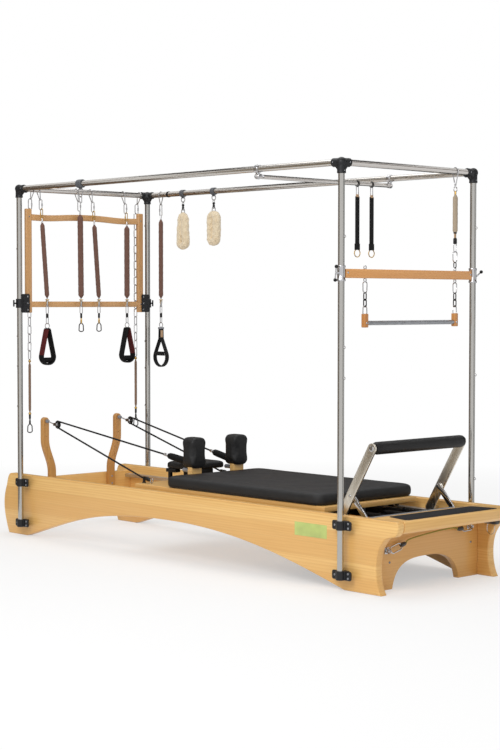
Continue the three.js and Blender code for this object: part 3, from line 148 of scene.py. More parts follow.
def skin(rows, closed=False):
    """Quads between neighbouring rows. When closed, the last row meets the first; otherwise a flat
    cap closes each end. The faces are turned outwards by the sign of the enclosed volume, which is a
    sixth of the sum of a . (b x c) over the triangles a, b, c."""
    rows = np.asarray(rows, float)
    count, around = rows.shape[:2]
    r = np.arange(count if closed else count - 1)[:, None]
    k = np.arange(around)[None, :]
    r2, k2 = (r + 1) % count, (k + 1) % around
    corners = [(r * around + k), (r * around + k2), (r2 * around + k2), (r2 * around + k)]
    quads = np.stack(corners, -1).reshape(-1, 4)
    along, across = step_sums(rows[:, 0]), step_sums(rows[count // 2])
    u0, u1, v0, v1 = np.broadcast_arrays(along[r], along[r + 1], across[k], across[k + 1])
    flat = np.stack([u0, v0, u0, v1, u1, v1, u1, v0], -1).reshape(-1, 4, 2)
    ends = np.arange(around)
    caps = [] if closed else [ends[::-1], (count - 1) * around + ends]
    points = rows.reshape(-1, 3)
    fans = [np.stack([np.full(around - 2, c[0]), c[1:-1], c[2:]], -1) for c in caps]
    triangles = np.concatenate([quads[:, :3], quads[:, [0, 2, 3]], *fans])
    a, b, c = (points[triangles[:, i]] for i in range(3))
    if (a * np.cross(b, c)).sum() < 0:
        quads, flat, caps = quads[:, ::-1], flat[:, ::-1], [cap[::-1] for cap in caps]
    return points, quads, flat, caps


def mirrored(shell):
    """The same skin on the table's other side, with its faces turned outwards again."""
    points, quads, flat, caps = shell
    return points * (1, -1, 1), quads[:, ::-1], flat[:, ::-1], [cap[::-1] for cap in caps]


# %% [markdown]
# Three ways to lay the rows cover nearly all pieces. A swept bar carries a section along a path, a
# turned part carries a profile round an axis as a lathe does, and a plank carries an outline across
# its thickness, drawn in at both faces so that the edges are rounded.

# %% Swept bars, turned parts and planks
def swept(path, radius, flat=Z, closed=False, sides=12, section=None):
    """Section times radius, placed at each path point on two axes square to the path. The first is
    the path's direction crossed with flat, and the second is square to both."""
    path = np.asarray(path, float)
    ahead = np.roll(path, -1, 0) - np.roll(path, 1, 0) if closed else np.gradient(path, axis=0)
    ahead = unit(ahead)
    side = unit(np.cross(ahead, np.broadcast_to(np.asarray(flat, float), path.shape)))
    rise = np.cross(side, ahead)
    if section is None:
        angle = np.arange(sides) / sides * 2 * np.pi
        section = np.stack([np.cos(angle), np.sin(angle)], -1)
    section = np.asarray(section, float)
    radius = np.broadcast_to(radius, len(path))[:, None, None]
    out = section[None, :, :1] * side[:, None] + section[None, :, 1:] * rise[:, None]
    return skin(path[:, None] + radius * out, closed)


def turned(profile, base, axis=Z, sides=32, closed=False):
    """Profile of radius and height, carried round the axis through base."""
    profile = np.asarray(profile, float)
    axis = unit(axis)
    first = unit(np.cross(axis, Y if abs(axis[1]) < 0.9 else X))
    second = np.cross(axis, first)
    angle = (np.arange(sides) / sides * 2 * np.pi)[None, :, None]
    out = np.cos(angle) * first + np.sin(angle) * second
    radius = np.maximum(profile[:, 0], 2e-4)[:, None, None]
    return skin(np.asarray(base) + profile[:, 1][:, None, None] * axis + radius * out, closed)


def both_ways(half):
    """Whole profile from its lower half, mirrored in height."""
    return half + [(radius, -height) for radius, height in half[::-1]]


def plank(outline, low, high, plane="xz", edge=0.003, steps=3):
    """Outline in a plane, carried across it between two levels, told in either order. Near each face
    the outline moves in by edge times one minus the sine of an angle over a quarter turn."""
    low, high = sorted((low, high))
    outline = np.asarray(outline, float)
    after = np.roll(outline, -1, 0)
    if (outline[:, 0] * after[:, 1] - outline[:, 1] * after[:, 0]).sum() < 0:
        outline = outline[::-1]
    back, on = unit(outline - np.roll(outline, 1, 0)), unit(np.roll(outline, -1, 0) - outline)
    n1, n2 = (np.stack([d[:, 1], -d[:, 0]], -1) for d in (back, on))
    corner = (n1 + n2) / np.maximum(1 + (n1 * n2).sum(1, keepdims=True), 0.4)
    angle = np.linspace(0, np.pi / 2, steps + 1)
    inset, rise = edge * (1 - np.sin(angle)), edge * (1 - np.cos(angle))
    levels = np.concatenate([low + rise, high - rise[::-1]])
    insets = np.concatenate([inset, inset[::-1]])
    flat = outline[None] - insets[:, None, None] * corner[None]
    a, b, c = {"xy": (0, 1, 2), "xz": (0, 2, 1), "yz": (1, 2, 0)}[plane]
    rows = np.zeros((*flat.shape[:2], 3))
    rows[..., a], rows[..., b], rows[..., c] = flat[..., 0], flat[..., 1], levels[:, None]
    return skin(rows)


def rounded(low, high, radius, steps=4):
    """Outline of a rectangle between two corners, with a quarter circle at each corner."""
    low, high = np.asarray(low, float), np.asarray(high, float)
    sign = np.array([[1, 1], [-1, 1], [-1, -1], [1, -1]])[:, None]
    angle = (np.arange(4)[:, None] + np.arange(steps + 1) / steps) * np.pi / 2
    arc = np.stack([np.cos(angle), np.sin(angle)], -1)
    return ((low + high) / 2 + sign * ((high - low) / 2 - radius) + radius * arc).reshape(-1, 2)


def block(low, high, edge=0.002, plane="xy"):
    """Box between two corners with every edge rounded."""
    a, b, c = {"xy": (0, 1, 2), "xz": (0, 2, 1), "yz": (1, 2, 0)}[plane]
    low, high = np.minimum(low, high), np.maximum(low, high)
    return plank(rounded(low[[a, b]], high[[a, b]], edge * 1.2), low[c], high[c], plane, edge)


def rod(start, end, radius, sides=24, edge=0.0008):
    """Round bar between two points, with a small bevel at each end."""
    start, end = np.asarray(start, float), np.asarray(end, float)
    long = np.linalg.norm(end - start)
    profile = [(radius - edge, 0), (radius, edge), (radius, long - edge), (radius - edge, long)]
    return turned(profile, start, end - start, sides)


def ball(centre, radius, sides=20):
    """Ball whose rows are circles at even angles from pole to pole."""
    angle = np.linspace(0.06, np.pi - 0.06, 12)
    profile = np.stack([radius * np.sin(angle), -radius * np.cos(angle)], -1)
    return turned(profile, centre, sides=sides)


def wire_loop(centre, wide, high, wire, facing, pear=0.0, upward=Z, steps=28, sides=8):
    """Closed ring of wire, half as wide and half as high as told: two half circles joined by straight
    runs. With pear above zero the width shrinks towards the top, as on a carabiner."""
    angle = (np.arange(steps) + 0.5) / steps * 2 * np.pi
    across = wide * np.cos(angle) * (1 - pear * np.sin(angle))
    rise = wide * np.sin(angle) + np.sign(np.sin(angle)) * (high - wide)
    upward = np.asarray(upward, float)
    side = unit(np.cross(upward, facing))
    path = np.asarray(centre) + across[:, None] * side + rise[:, None] * upward
    return swept(path, wire, facing, True, sides)


def coil(start, end, radius, wire, turns, steps=14, sides=6):
    """Wire on a screw line: the path goes round the axis once a turn while it moves along it."""
    start, end = np.asarray(start, float), np.asarray(end, float)
    axis = unit(end - start)
    first = unit(np.cross(axis, Y if abs(axis[1]) < 0.9 else X))
    share = np.linspace(0, 1, turns * steps + 1)[:, None]
    angle = share * turns * 2 * np.pi
    out = np.cos(angle) * first + np.sin(angle) * np.cross(axis, first)
    return swept(start + share * (end - start) + radius * out, wire, out, False, sides)


def bezier(corners, steps=14):
    """Curve from the first of four points to the last, without its last point."""
    a, b, c, d = (np.asarray(corner, float) for corner in corners)
    t = np.arange(steps)[:, None] / steps
    return (1 - t) ** 3 * a + 3 * (1 - t) ** 2 * t * b + 3 * (1 - t) * t * t * c + t ** 3 * d


# %% [markdown]
# One function turns skins into an object. It takes each skin with its finish, so a clamp and its
# screws can be one object with two finishes. The body comes from the CAD node that the piece stands
# for.

# %% Make an object from skins
def make(name, parts, sharp=38):
    """Object from pairs of skins and finish, not yet on a body."""
    points, faces, flat, index, finishes, start = [], [], [], [], [], 0
    for shells, finish in parts:
        if finish not in finishes:
            finishes.append(finish)
        for skin_points, quads, quad_map, caps in shells if isinstance(shells, list) else [shells]:
            cap_faces = [(cap + start).tolist() for cap in caps]
            faces += (quads + start).tolist() + cap_faces
            points.append(skin_points)
            flat += [quad_map.reshape(-1, 2), np.zeros((sum(map(len, cap_faces)), 2))]
            index += [finishes.index(finish)] * (len(quads) + len(caps))
            start += len(skin_points)
    mesh = bpy.data.meshes.new(name)
    mesh.from_pydata(np.concatenate(points).tolist(), [], faces)
    mesh.uv_layers.new(name="surface").data.foreach_set("uv", np.concatenate(flat).ravel())
    for finish in finishes:
        mesh.materials.append(finish)
    mesh.polygons.foreach_set("material_index", index)
    mesh.polygons.foreach_set("use_smooth", [True] * len(mesh.polygons))
    mesh.set_sharp_from_angle(angle=math.radians(sharp))
    piece = bpy.data.objects.new(name, mesh)
    bpy.context.scene.collection.objects.link(piece)
    return piece


def place(piece, node):
    """Rides the piece on a CAD node's body and lets it stand for that node."""
    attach(piece, frame["nodes"][node]["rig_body"])
    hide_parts(node)
    return piece


# %% [markdown]
# Finishes are small node graphs. A helper adds one node and fills its sockets, from numbers or from
# another node's output. Values that are the same all over sit on the shader itself.

# %% Helpers for finishes
def linear(red, green, blue):
    """Colour on the scale of 0 to 255, as read off a screen, made linear for the shader."""
    value = np.array([red, green, blue]) / 255
    return tuple(np.where(value > 0.04045, ((value + 0.055) / 1.055) ** 2.4, value / 12.92))


def new_finish(name, colour, roughness, metallic=0.0, **sockets):
    """Material with a plain shader. Further sockets are written with _ for each space."""
    finish = bpy.data.materials.new(name)
    finish.use_nodes = True
    shader = finish.node_tree.nodes["Principled BSDF"]
    shader.inputs["Base Color"].default_value = (*colour, 1)
    shader.inputs["Roughness"].default_value = roughness
    shader.inputs["Metallic"].default_value = metallic
    for socket, value in sockets.items():
        shader.inputs[socket.replace("_", " ")].default_value = value
    return finish


def add(finish, kind, sockets=None, **settings):
    """One node of a kind, its sockets filled with numbers or joined to another node's output."""
    node = finish.node_tree.nodes.new("ShaderNode" + kind)
    for setting, value in settings.items():
        setattr(node, setting, value)
    for socket, value in (sockets or {}).items():
        if isinstance(value, bpy.types.NodeSocket):
            finish.node_tree.links.new(value, node.inputs[socket])
        else:
            node.inputs[socket].default_value = value
    return node


def feed(finish, **outputs):
    """Joins outputs to the shader's sockets, written with _ for each space."""
    shader = finish.node_tree.nodes["Principled BSDF"]
    for socket, output in outputs.items():
        finish.node_tree.links.new(output, shader.inputs[socket.replace("_", " ")])


def object_place(finish):
    """Where a point lies in its object's own coordinates."""
    return add(finish, "TexCoord").outputs["Object"]


def sums(finish, operation, first, second=0.0):
    """Result of one operation on one or two values."""
    return add(finish, "Math", {0: first, 1: second}, operation=operation).outputs[0]


def noise(finish, vector, scale, detail=3.0, roughness=0.5):
    """Cloudy value from 0 to 1, with features about one over scale wide."""
    sockets = {"Vector": vector, "Scale": scale, "Detail": detail, "Roughness": roughness}
    return add(finish, "TexNoise", sockets).outputs["Fac"]


def remap(finish, value, from_low, from_high, low, high):
    """Value stretched from one range to another and held inside it."""
    sockets = {"Value": value, "From Min": from_low, "From Max": from_high, "To Min": low,
               "To Max": high}
    return add(finish, "MapRange", sockets).outputs["Result"]


def mix(finish, share, first, second):
    """Two colours mixed by a share."""
    def as_colour(c):
        return c if isinstance(c, bpy.types.NodeSocket) else (*c, 1)
    sockets = {"Fac": share, "Color1": as_colour(first), "Color2": as_colour(second)}
    return add(finish, "MixRGB", sockets).outputs["Color"]


def bump(finish, height, strength, distance):
    """Small relief from a value, joined to the shader."""
    sockets = {"Height": height, "Strength": strength, "Distance": distance}
    feed(finish, Normal=add(finish, "Bump", sockets).outputs["Normal"])


def drawn_out(finish, along, share, where=None):
    """Place pressed to a share along one axis, so that a pattern stretches on it."""
    scale = [1.0, 1.0, 1.0]
    scale[along] = share
    sockets = {"Vector": object_place(finish) if where is None else where, "Scale": scale}
    return add(finish, "Mapping", sockets).outputs["Vector"]


# %% [markdown]
# The bed is pale hardwood under satin lacquer. Its boards are glued from strips, so each strip has a
# tone of its own with a thin seam beside it. Inside a strip run growth lines, fine streaks and pores.
# All are noise or bands pressed along the grain, so a board needs only the direction of its grain.

# %% Wood
strip_wide, line_share = 0.058, 0.4


def strip_number(wood, along):
    """Which glued strip a point lies in, and how far across that strip it is, from 0 to 1."""
    axes = add(wood, "SeparateXYZ", {"Vector": object_place(wood)}).outputs
    across = sums(wood, "DIVIDE", axes["ZXY"[along]], strip_wide)
    return sums(wood, "FLOOR", across), sums(wood, "FRACT", across)


def lacquered_wood(name, pale, deep, along, figure=1.0, gloss=0.36):
    """Strips with their own tone, long growth lines bent by noise, streaks and pores."""
    wood = new_finish(name, pale, gloss, Coat_Weight=0.2, Coat_Roughness=0.25)
    number, across = strip_number(wood, along)
    tone = add(wood, "TexWhiteNoise", {"W": number}, noise_dimensions="1D").outputs["Value"]
    shifted = add(wood, "VectorMath", {0: object_place(wood), 1: tone}).outputs[0]
    flow = drawn_out(wood, along, 0.05, shifted)
    broad = noise(wood, flow, 16.0 * figure, 2.0)
    ring_sockets = {"Vector": flow, "Scale": 26.0 * figure, "Distortion": 7.0, "Detail": 3.0,
                    "Detail Scale": 1.2, "Detail Roughness": 0.55}
    across_grain = "Y" if along == 2 else "Z"
    rings = add(wood, "TexWave", ring_sockets, bands_direction=across_grain).outputs["Fac"]
    line = remap(wood, rings, 0.5, 1.0, 0.0, line_share)
    pores = noise(wood, drawn_out(wood, along, 0.012), 420.0, 3.0, 0.6)
    fine = noise(wood, drawn_out(wood, along, 0.02), 120.0, 4.0, 0.6)
    strip = mix(wood, remap(wood, tone, 0.0, 1.0, 0.0, 0.6), pale, deep)
    warm = mix(wood, remap(wood, broad, 0.35, 0.7, 0.0, 0.3), strip, deep)
    lined = mix(wood, line, warm, deep)
    streaked = mix(wood, remap(wood, fine, 0.4, 0.75, 0.0, 0.4), lined, deep)
    dark = tuple(c * 0.62 for c in deep)
    pored = mix(wood, remap(wood, pores, 0.6, 0.8, 0.0, 0.35), streaked, dark)
    feed(wood, Base_Color=mix(wood, remap(wood, across, 0.0, 0.03, 0.35, 0.0), pored, dark),
         Roughness=remap(wood, fine, 0.3, 0.8, gloss - 0.05, gloss + 0.08))
    bump(wood, pores, 0.12, 0.0003)
    return wood


maple_pale, maple_deep = linear(247, 203, 129), linear(224, 168, 92)
maple = [lacquered_wood(f"maple_along_{'xyz'[i]}", maple_pale, maple_deep, i) for i in range(3)]
golden = lacquered_wood("golden_wood", linear(214, 164, 94), linear(182, 122, 58), 2, 1.6)
tan_pale, tan_deep = linear(218, 172, 118), linear(190, 138, 84)
tan_wood = [lacquered_wood(f"tan_wood_along_{'xyz'[i]}", tan_pale, tan_deep, i, 1.6) for i in range(3)]
orange = lacquered_wood("orange_wood", linear(238, 176, 108), linear(214, 144, 80), 1, 2.0, 0.4)
block_wood = lacquered_wood("orange_block_wood", linear(212, 150, 84), linear(182, 112, 52), 2, 2)

# %% [markdown]
# The tubes are polished stainless steel, even in shine, with faint darker streaks along them.
# The same steel gets three base colours by direction: the rails along X and Y lighter, the uprights
# along Z darker, as painted light and painted shade. On the other metals the roughness and a very
# small relief follow the noise too: streaks on the foot bar's flat arms and the tracks, faint
# smudges on chrome, brass, zinc and spring wire.

# %% Metals
def polished(name, colour, roughness, along=None, streaks=0.0, relief=0.0, tint=0.35):
    """Metal shaded by noise, pressed along an axis where the polishing ran. Streaks say how much the
    noise adds to the roughness, relief how much it raises the surface."""
    metal = new_finish(name, colour, roughness, 1.0)
    if along is None:
        value = noise(metal, object_place(metal), 35.0, 4.0)
    else:
        value = noise(metal, drawn_out(metal, along, 0.04), 110.0, 2.0)
    share = remap(metal, value, 0.3, 0.75, 0.0, tint)
    feed(metal, Base_Color=mix(metal, share, colour, tuple(c * 0.8 for c in colour)))
    if streaks:
        feed(metal, Roughness=remap(metal, value, 0.3, 0.7, roughness, roughness + streaks))
    if relief:
        bump(metal, value, relief, 0.0002)
    return metal


# Painted light and shade: one steel in three copies, the rails lighter than the uprights.
painted_tube_shading = (((206, 202, 196), 0.16), ((200, 196, 192), 0.16), ((182, 180, 176), 0.12))
stainless = [polished(f"stainless_along_{'xyz'[i]}", linear(*shade), dull, i, tint=0.1)
             for i, (shade, dull) in enumerate(painted_tube_shading)]
chrome = polished("chrome", linear(196, 196, 198), 0.08, None, 0.05, 0.02)
brushed_bar = polished("brushed_bar", linear(222, 216, 204), 0.24, 2, 0.08, 0.03, 0.15)
zinc = polished("zinc_plate", linear(160, 162, 166), 0.3, None, 0.12, 0.05)
brass = polished("brass", linear(206, 168, 92), 0.25, None, 0.15, 0.05)
track_metal = polished("anodised_track", linear(206, 206, 204), 0.38, 0, 0.1, 0.05)
spring_orange = polished("orange_spring_wire", linear(186, 122, 50), 0.35, None, 0.15, 0.05)
spring_dark = polished("dark_spring_wire", linear(58, 56, 55), 0.34, None, 0.15, 0.05)


def grainy(name, colour, roughness, grain=900.0, relief=0.25, depth=0.0002, **sockets):
    """Painted or moulded surface: fine noise in the relief, cloudy noise in colour and shine."""
    paint = new_finish(name, colour, roughness, **sockets)
    where = object_place(paint)
    cloud = noise(paint, where, 14.0, 4.0)
    feed(paint, Roughness=remap(paint, cloud, 0.3, 0.7, roughness - 0.05, roughness + 0.08),
         Base_Color=mix(paint, remap(paint, cloud, 0.35, 0.7, 0.0, 0.6), colour,
                        tuple(c * 1.5 + 0.002 for c in colour)))
    bump(paint, noise(paint, where, grain, 2.0), relief, depth)
    return paint


cast_black = grainy("black_casting", linear(24, 25, 28), 0.4, 1100.0, 0.2, Specular_IOR_Level=0.35)
matt_black = grainy("matt_black_deck", linear(40, 40, 42), 0.95, 1100.0, 0.2, Specular_IOR_Level=0.04)
black_plastic = grainy("black_plastic", linear(17, 17, 18), 0.42, 700.0, 0.12, Specular_IOR_Level=0.3)
grey_plastic = grainy("grey_plastic", linear(128, 130, 136), 0.4, 600.0, 0.12)
rubber = grainy("charcoal_grip", linear(34, 34, 36), 0.85, 1400.0, 0.8, 0.0006,
                Specular_IOR_Level=0.25)
dark_red_foam = grainy("dark_red_foam", linear(78, 22, 22), 0.75, 1200.0, 0.6, 0.0005,
                       Specular_IOR_Level=0.25)
black_foam = grainy("black_foam", linear(13, 13, 14), 0.75, 1200.0, 0.5, 0.0004,
                    Specular_IOR_Level=0.2)
dark_band = grainy("dark_rail_band", linear(84, 86, 90), 0.4, 600.0, 0.12)
grey_dark = grainy("dark_grey_swivel", linear(66, 68, 70), 0.45, 700.0, 0.12)
pale_lining = grainy("pale_lining", linear(196, 198, 200), 0.7, 900.0, 0.3)
label_green = grainy("green_plate", linear(180, 194, 114), 0.45, 500.0, 0.05)

# %% [markdown]
# The pads wear smooth black vinyl. Vinyl is embossed to look like hide: small cells with soft
# creases between them. A cell texture gives the creases, and noise varies the shine a little.

# %% Vinyl
def embossed_vinyl(name, colour, roughness):
    """Cells a couple of millimetres wide press shallow creases into a satin surface."""
    vinyl = new_finish(name, colour, roughness, Specular_IOR_Level=0.36)
    where = object_place(vinyl)
    cells = add(vinyl, "TexVoronoi", {"Vector": where, "Scale": 620.0}).outputs["Distance"]
    cloud = noise(vinyl, where, 9.0, 4.0)
    feed(vinyl, Roughness=remap(vinyl, cloud, 0.3, 0.7, roughness - 0.06, roughness + 0.08),
         Base_Color=mix(vinyl, remap(vinyl, cloud, 0.3, 0.7, 0.0, 1.0), colour,
                        tuple(c * 1.35 for c in colour)))
    bump(vinyl, cells, 0.22, 0.0004)
    return vinyl


mat_vinyl = embossed_vinyl("mat_vinyl", linear(30, 30, 31), 0.55)
rest_vinyl = embossed_vinyl("rest_vinyl", linear(24, 24, 25), 0.55)
roll_vinyl = embossed_vinyl("roll_vinyl", linear(20, 20, 21), 0.48)

# %% [markdown]
# Rope, webbing and knitted sleeves are threads laid in two directions. Each skin's flat map runs in
# metres along and around the piece, so two sets of bands on that map, one leaning each way, make a
# braid, and bands along and across make a weave.

# %% Threads
def banded(finish, turn, pitch, distortion=0.0):
    """Bands on the flat map, turned by an angle, one every pitch metres."""
    flat = add(finish, "UVMap", uv_map="surface").outputs["UV"]
    laid = add(finish, "Mapping", {"Vector": flat, "Rotation": (0, 0, turn)}).outputs["Vector"]
    sockets = {"Vector": laid, "Scale": 2 * math.pi / 20 / pitch, "Distortion": distortion,
               "Detail": 1.0, "Detail Scale": 4.0}
    return add(finish, "TexWave", sockets).outputs["Fac"]


def threaded(name, colour, pitch, turns, light=1.6, roughness=0.8, relief=0.5, depth=0.0006):
    """Cloth whose threads run at two angles; the higher of the two bands lies on top. Where a band
    lies on top the colour is made lighter by the factor light: a painted highlight on the raised
    threads, with painted shade between them.
    """
    cloth = new_finish(name, colour, roughness, Sheen_Weight=0.04, Sheen_Roughness=0.5,
                       Specular_IOR_Level=0.2)
    first, second = (banded(cloth, math.radians(t), pitch, 0.4) for t in turns)
    top = sums(cloth, "MAXIMUM", first, second)
    # Painted highlight: threads on top take the lighter colour lit, and painted shade keeps the base
    # colour between them.
    lit = tuple(min(1, c * light + 0.004) for c in colour)
    feed(cloth, Base_Color=mix(cloth, remap(cloth, top, 0.3, 1.0, 0.0, 1.0), colour, lit))
    bump(cloth, top, relief, depth)
    return cloth


rope_braid = threaded("black_rope", linear(11, 11, 12), 0.004, (38, -38), 2.2)
webbing = threaded("black_webbing", linear(13, 13, 14), 0.0022, (0, 90), 2.0)
tan_webbing = threaded("tan_webbing", linear(176, 146, 116), 0.0022, (0, 90), 1.25)
olive_braid = threaded("olive_cord", linear(140, 132, 62), 0.003, (40, -40), 1.5)
brown_knit = threaded("brown_sleeve", linear(104, 76, 66), 0.0032, (90, 62), 1.4)
thin_knit = threaded("thin_brown_sleeve", linear(124, 100, 84), 0.0032, (0, 30), 1.4)
beige_knit = threaded("beige_sleeve", linear(160, 145, 125), 0.005, (0, 8), 1.35)

# %% [markdown]
# Sheepskin is short curled wool. Its outline is lumpy, so the lumps are in the mesh, and the finish
# adds the curls: warm cream, darker in patches as painted shade between the tufts, and a soft sheen.

# %% Wool
fleece = new_finish("cream_fleece", linear(232, 212, 176), 0.95, Sheen_Weight=0.4,
                    Sheen_Roughness=0.6)
fleece_place = object_place(fleece)
curls = add(fleece, "TexVoronoi", {"Vector": fleece_place, "Scale": 170.0}).outputs["Distance"]
tufts = noise(fleece, fleece_place, 60.0, 5.0, 0.7)
# Painted shade: where the tuft noise is low the colour turns darker, as if shaded deep between tufts.
tuft_shade_share = remap(fleece, tufts, 0.3, 0.62, 0.6, 0.0)
feed(fleece, Base_Color=mix(fleece, tuft_shade_share, linear(238, 221, 190), linear(208, 182, 142)))
bump(fleece, curls, 0.7, 0.003)
print("finishes:", len(bpy.data.materials))

# %% [markdown]
# All places below are measured from the middle of the tower, in metres, and one function moves them
# into the frame's own coordinates. X runs from the head end to the foot end, and Y to the back.

# %% Places on the table
centre_x, half_span, half_spread = (head_x + foot_x) / 2, (foot_x - head_x) / 2, back_y
gap = 0.0003


def at(x, y, z):
    """Point in the frame for a place measured from the middle of the tower."""
    return np.array([centre_x + x, y, z], float)


def settled(piece, sharp=38):
    """Works the piece's modifiers into its mesh and shades it smooth again."""
    graph = bpy.context.evaluated_depsgraph_get()
    mesh = bpy.data.meshes.new_from_object(piece.evaluated_get(graph))
    piece.modifiers.clear()
    piece.data = mesh
    mesh.polygons.foreach_set("use_smooth", [True] * len(mesh.polygons))
    mesh.set_sharp_from_angle(angle=math.radians(sharp))
    return piece


def cast(name, skins, finish, voxel=0.0014, rounds=5):
    """One cast body from overlapping skins: a fine grid of cells joins them, and smoothing rounds
    the seams between them as a mould does."""
    piece = make(name, [(skins, finish)])
    remesh = piece.modifiers.new("join", "REMESH")
    remesh.mode, remesh.voxel_size, remesh.adaptivity = "VOXEL", voxel, 0
    smooth = piece.modifiers.new("fillet", "SMOOTH")
    smooth.factor, smooth.iterations = 0.5, rounds
    return settled(piece, 60)


def screw_head(base, axis, radius=0.0045):
    """Low dome with a dimple, as on a wood screw or bolt."""
    profile = [(radius, 0), (radius, 0.2 * radius), (0.8 * radius, 0.45 * radius),
               (0.4 * radius, 0.55 * radius), (0.3 * radius, 0.25 * radius)]
    return turned(profile, base, axis, 12)


def loose(name, parts, body="frame"):
    """Trim that stands for no CAD node, on a body of its own choice."""
    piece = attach(make(name, parts), body)
    print(name, len(piece.data.polygons), "faces on", body)
    return piece


# %% [markdown]
# ## Ropes
# Each rope runs from a post at the carriage's corner, round the pulley and back to a handle by the
# shoulder rest. It is a cord, so it is one tube along one line. When the carriage slides, both ends
# go with it and the wrap stays.

# %% Rope lines
pulley_x, pulley_y, pulley_z, wrap_radius = -1.010, 0.228, 0.541, 0.0165
rope_start, rope_end, rope_thick = (-0.3413, 0.240, 0.332), (-0.1863, 0.130, 0.418), 0.0082


def rope_line(side):
    """Straight to the wheel, round it on an arc between two angles, and straight to the handle."""
    angle = np.linspace(-0.42 * np.pi, -1.52 * np.pi, 30)
    arc = np.stack([pulley_x + wrap_radius * np.cos(angle), np.full(30, pulley_y),
                    pulley_z + wrap_radius * np.sin(angle)], -1)
    share = np.linspace(0, 1, 24, endpoint=False)[:, None]
    first = (1 - share) * np.array(rope_start) + share * arc[0]
    last = (1 - share[1:]) * arc[-1] + share[1:] * np.array(rope_end)
    line = np.concatenate([first, arc, last, [rope_end]])
    return line * (1, side, 1) + (centre_x, 0, 0)


for side, end in ((-1, "front"), (1, "back")):
    line = rope_line(side)
    way = unit(line[-1] - line[-6])
    sleeve = turned([(0.0055, -0.092), (0.0105, -0.089), (0.0145, -0.080), (0.0160, -0.060),
                     (0.0160, 0.028), (0.0135, 0.036), (0.0060, 0.0375)], line[-1], way, 28)
    clip = turned([(0.0050, -0.118), (0.0072, -0.115), (0.0072, -0.095), (0.0050, -0.091)],
                  line[-1], way, 18)
    handle = loose(f"rope_handle_{end}", [(sleeve, black_foam), (clip, chrome)], "carriage")
    rope = make(f"rope_{end}_line", [(swept(line, rope_thick / 2, Y, sides=14), rope_braid)])
    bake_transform(rope)
    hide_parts(f"rope_{end}")

# %% [markdown]
# ## The tower
# The uprights and top rails are polished tubes. Each is a hollow turned part, so its open foot, a
# hand's breadth over the floor, shows a real wall. Small eyelets stand on the uprights' outer sides.

# %% Tubes and eyelets
def hollow_tube(start, end):
    """Profile up the outside and back down the bore, with small bevels on the outer edges."""
    long, bore = np.linalg.norm(np.subtract(end, start)), tube_radius - 0.0016
    profile = [(bore, 0), (tube_radius - 0.0005, 0), (tube_radius, 0.0005),
               (tube_radius, long - 0.0005), (tube_radius - 0.0005, long), (bore, long)]
    return turned(profile, start, np.subtract(end, start), 48, closed=True)


tube_low, tube_high = 0.047, 1.670
eyelet_shares = {"head_front": (0.376, 0.491, 0.5775, 0.8284),
                 "head_back": (0.3586, 0.474, 0.556, 0.909),
                 "foot_front": (0.5, 0.5716, 0.8284), "foot_back": (0.2325, 0.494, 0.862)}
corners = {f"{end}_{side}": (sx, sy) for end, sx in (("head", -1), ("foot", 1))
           for side, sy in (("front", -1), ("back", 1))}
for corner, (sx, sy) in corners.items():
    x, y = sx * half_span, sy * half_spread
    eyelets = []
    for share in eyelet_shares[corner]:
        z = share * rail_z
        centre = at(x + sx * (tube_radius + 0.006), y, z)
        eyelets += [wire_loop(centre, 0.0046, 0.0046, 0.0014, Y, steps=16, sides=6),
                    rod(at(x + sx * 0.0125, y, z), centre - (sx * 0.0035, 0, 0), 0.0022, 10)]
    shaft = hollow_tube(at(x, y, tube_low), at(x, y, tube_high))
    place(make(f"upright_tube_{corner}", [(shaft, stainless[2]), (eyelets, chrome)]),
          f"upright_{corner}")

long_end, cross_end = half_span - 0.020, half_spread - 0.020
for side, sy in (("front", -1), ("back", 1)):
    y = sy * half_spread
    rail = hollow_tube(at(-long_end, y, rail_z), at(long_end, y, rail_z))
    place(make(f"long_rail_{side}", [(rail, stainless[0])]), f"top_rail_{side}")
for end, sx in (("head", -1), ("foot", 1)):
    x = sx * half_span
    rail = hollow_tube(at(x, -cross_end, rail_z), at(x, cross_end, rail_z))
    place(make(f"cross_rail_{end}", [(rail, stainless[1])]), f"top_rail_{end}")

# %% [markdown]
# Three tubes meet in a black casting at each corner: three sleeves, a round core and a web between
# each pair of sleeves. Overlapping skins are joined on a fine grid and smoothed, so the seams turn
# into soft fillets as on a real casting.

# %% Corner castings
def sleeve_skin(start, direction, reach=0.044, radius=0.0172):
    """Socket with a raised rim at its mouth."""
    rim = radius + 0.001
    profile = [(radius, 0), (radius, reach - 0.008), (rim, reach - 0.006), (rim, reach)]
    return turned(profile, start, direction, 40)


def web_skin(corner, first, second, plane, reach=0.043, thick=0.027):
    """Triangle between two sleeves, as a plank with rounded faces."""
    axes = {"xy": (0, 1, 2), "xz": (0, 2, 1), "yz": (1, 2, 0)}[plane]
    a, b, level = corner[list(axes)]
    outline = [(a, b), (a + first * reach, b), (a, b + second * reach)]
    return plank(outline, level - thick / 2, level + thick / 2, plane, 0.002)


for corner, (sx, sy) in corners.items():
    core = at(sx * half_span, sy * half_spread, rail_z)
    ways = [(-sx, 0, 0), (0, -sy, 0), (0, 0, -1)]
    skins = [sleeve_skin(core, way) for way in ways] + [ball(core, 0.0205)]
    skins += [web_skin(core, -sx, -sy, "xy"), web_skin(core, -sx, -1, "xz"),
              web_skin(core, -sy, -1, "yz")]
    place(cast(f"corner_casting_{corner}", skins, cast_black, 0.0018, 14), f"corner_{corner}")
    screws = [screw_head(core + np.multiply(way, 0.033) + np.multiply(out, 0.0167), out, 0.003)
              for way, out in ((ways[0], (0, sy, 0)), (ways[1], (sx, 0, 0)), (ways[2], (sx, 0, 0)))]
    loose(f"corner_screws_{corner}", [(screws, zinc)])

# %% [markdown]
# Two cast clamps hold each upright against the bed. A clamp is a sleeve round the tube with a flat
# ear on each side, and a web behind it reaches the bed. It is cast in the same way. Three screw heads
# sit on its ears.

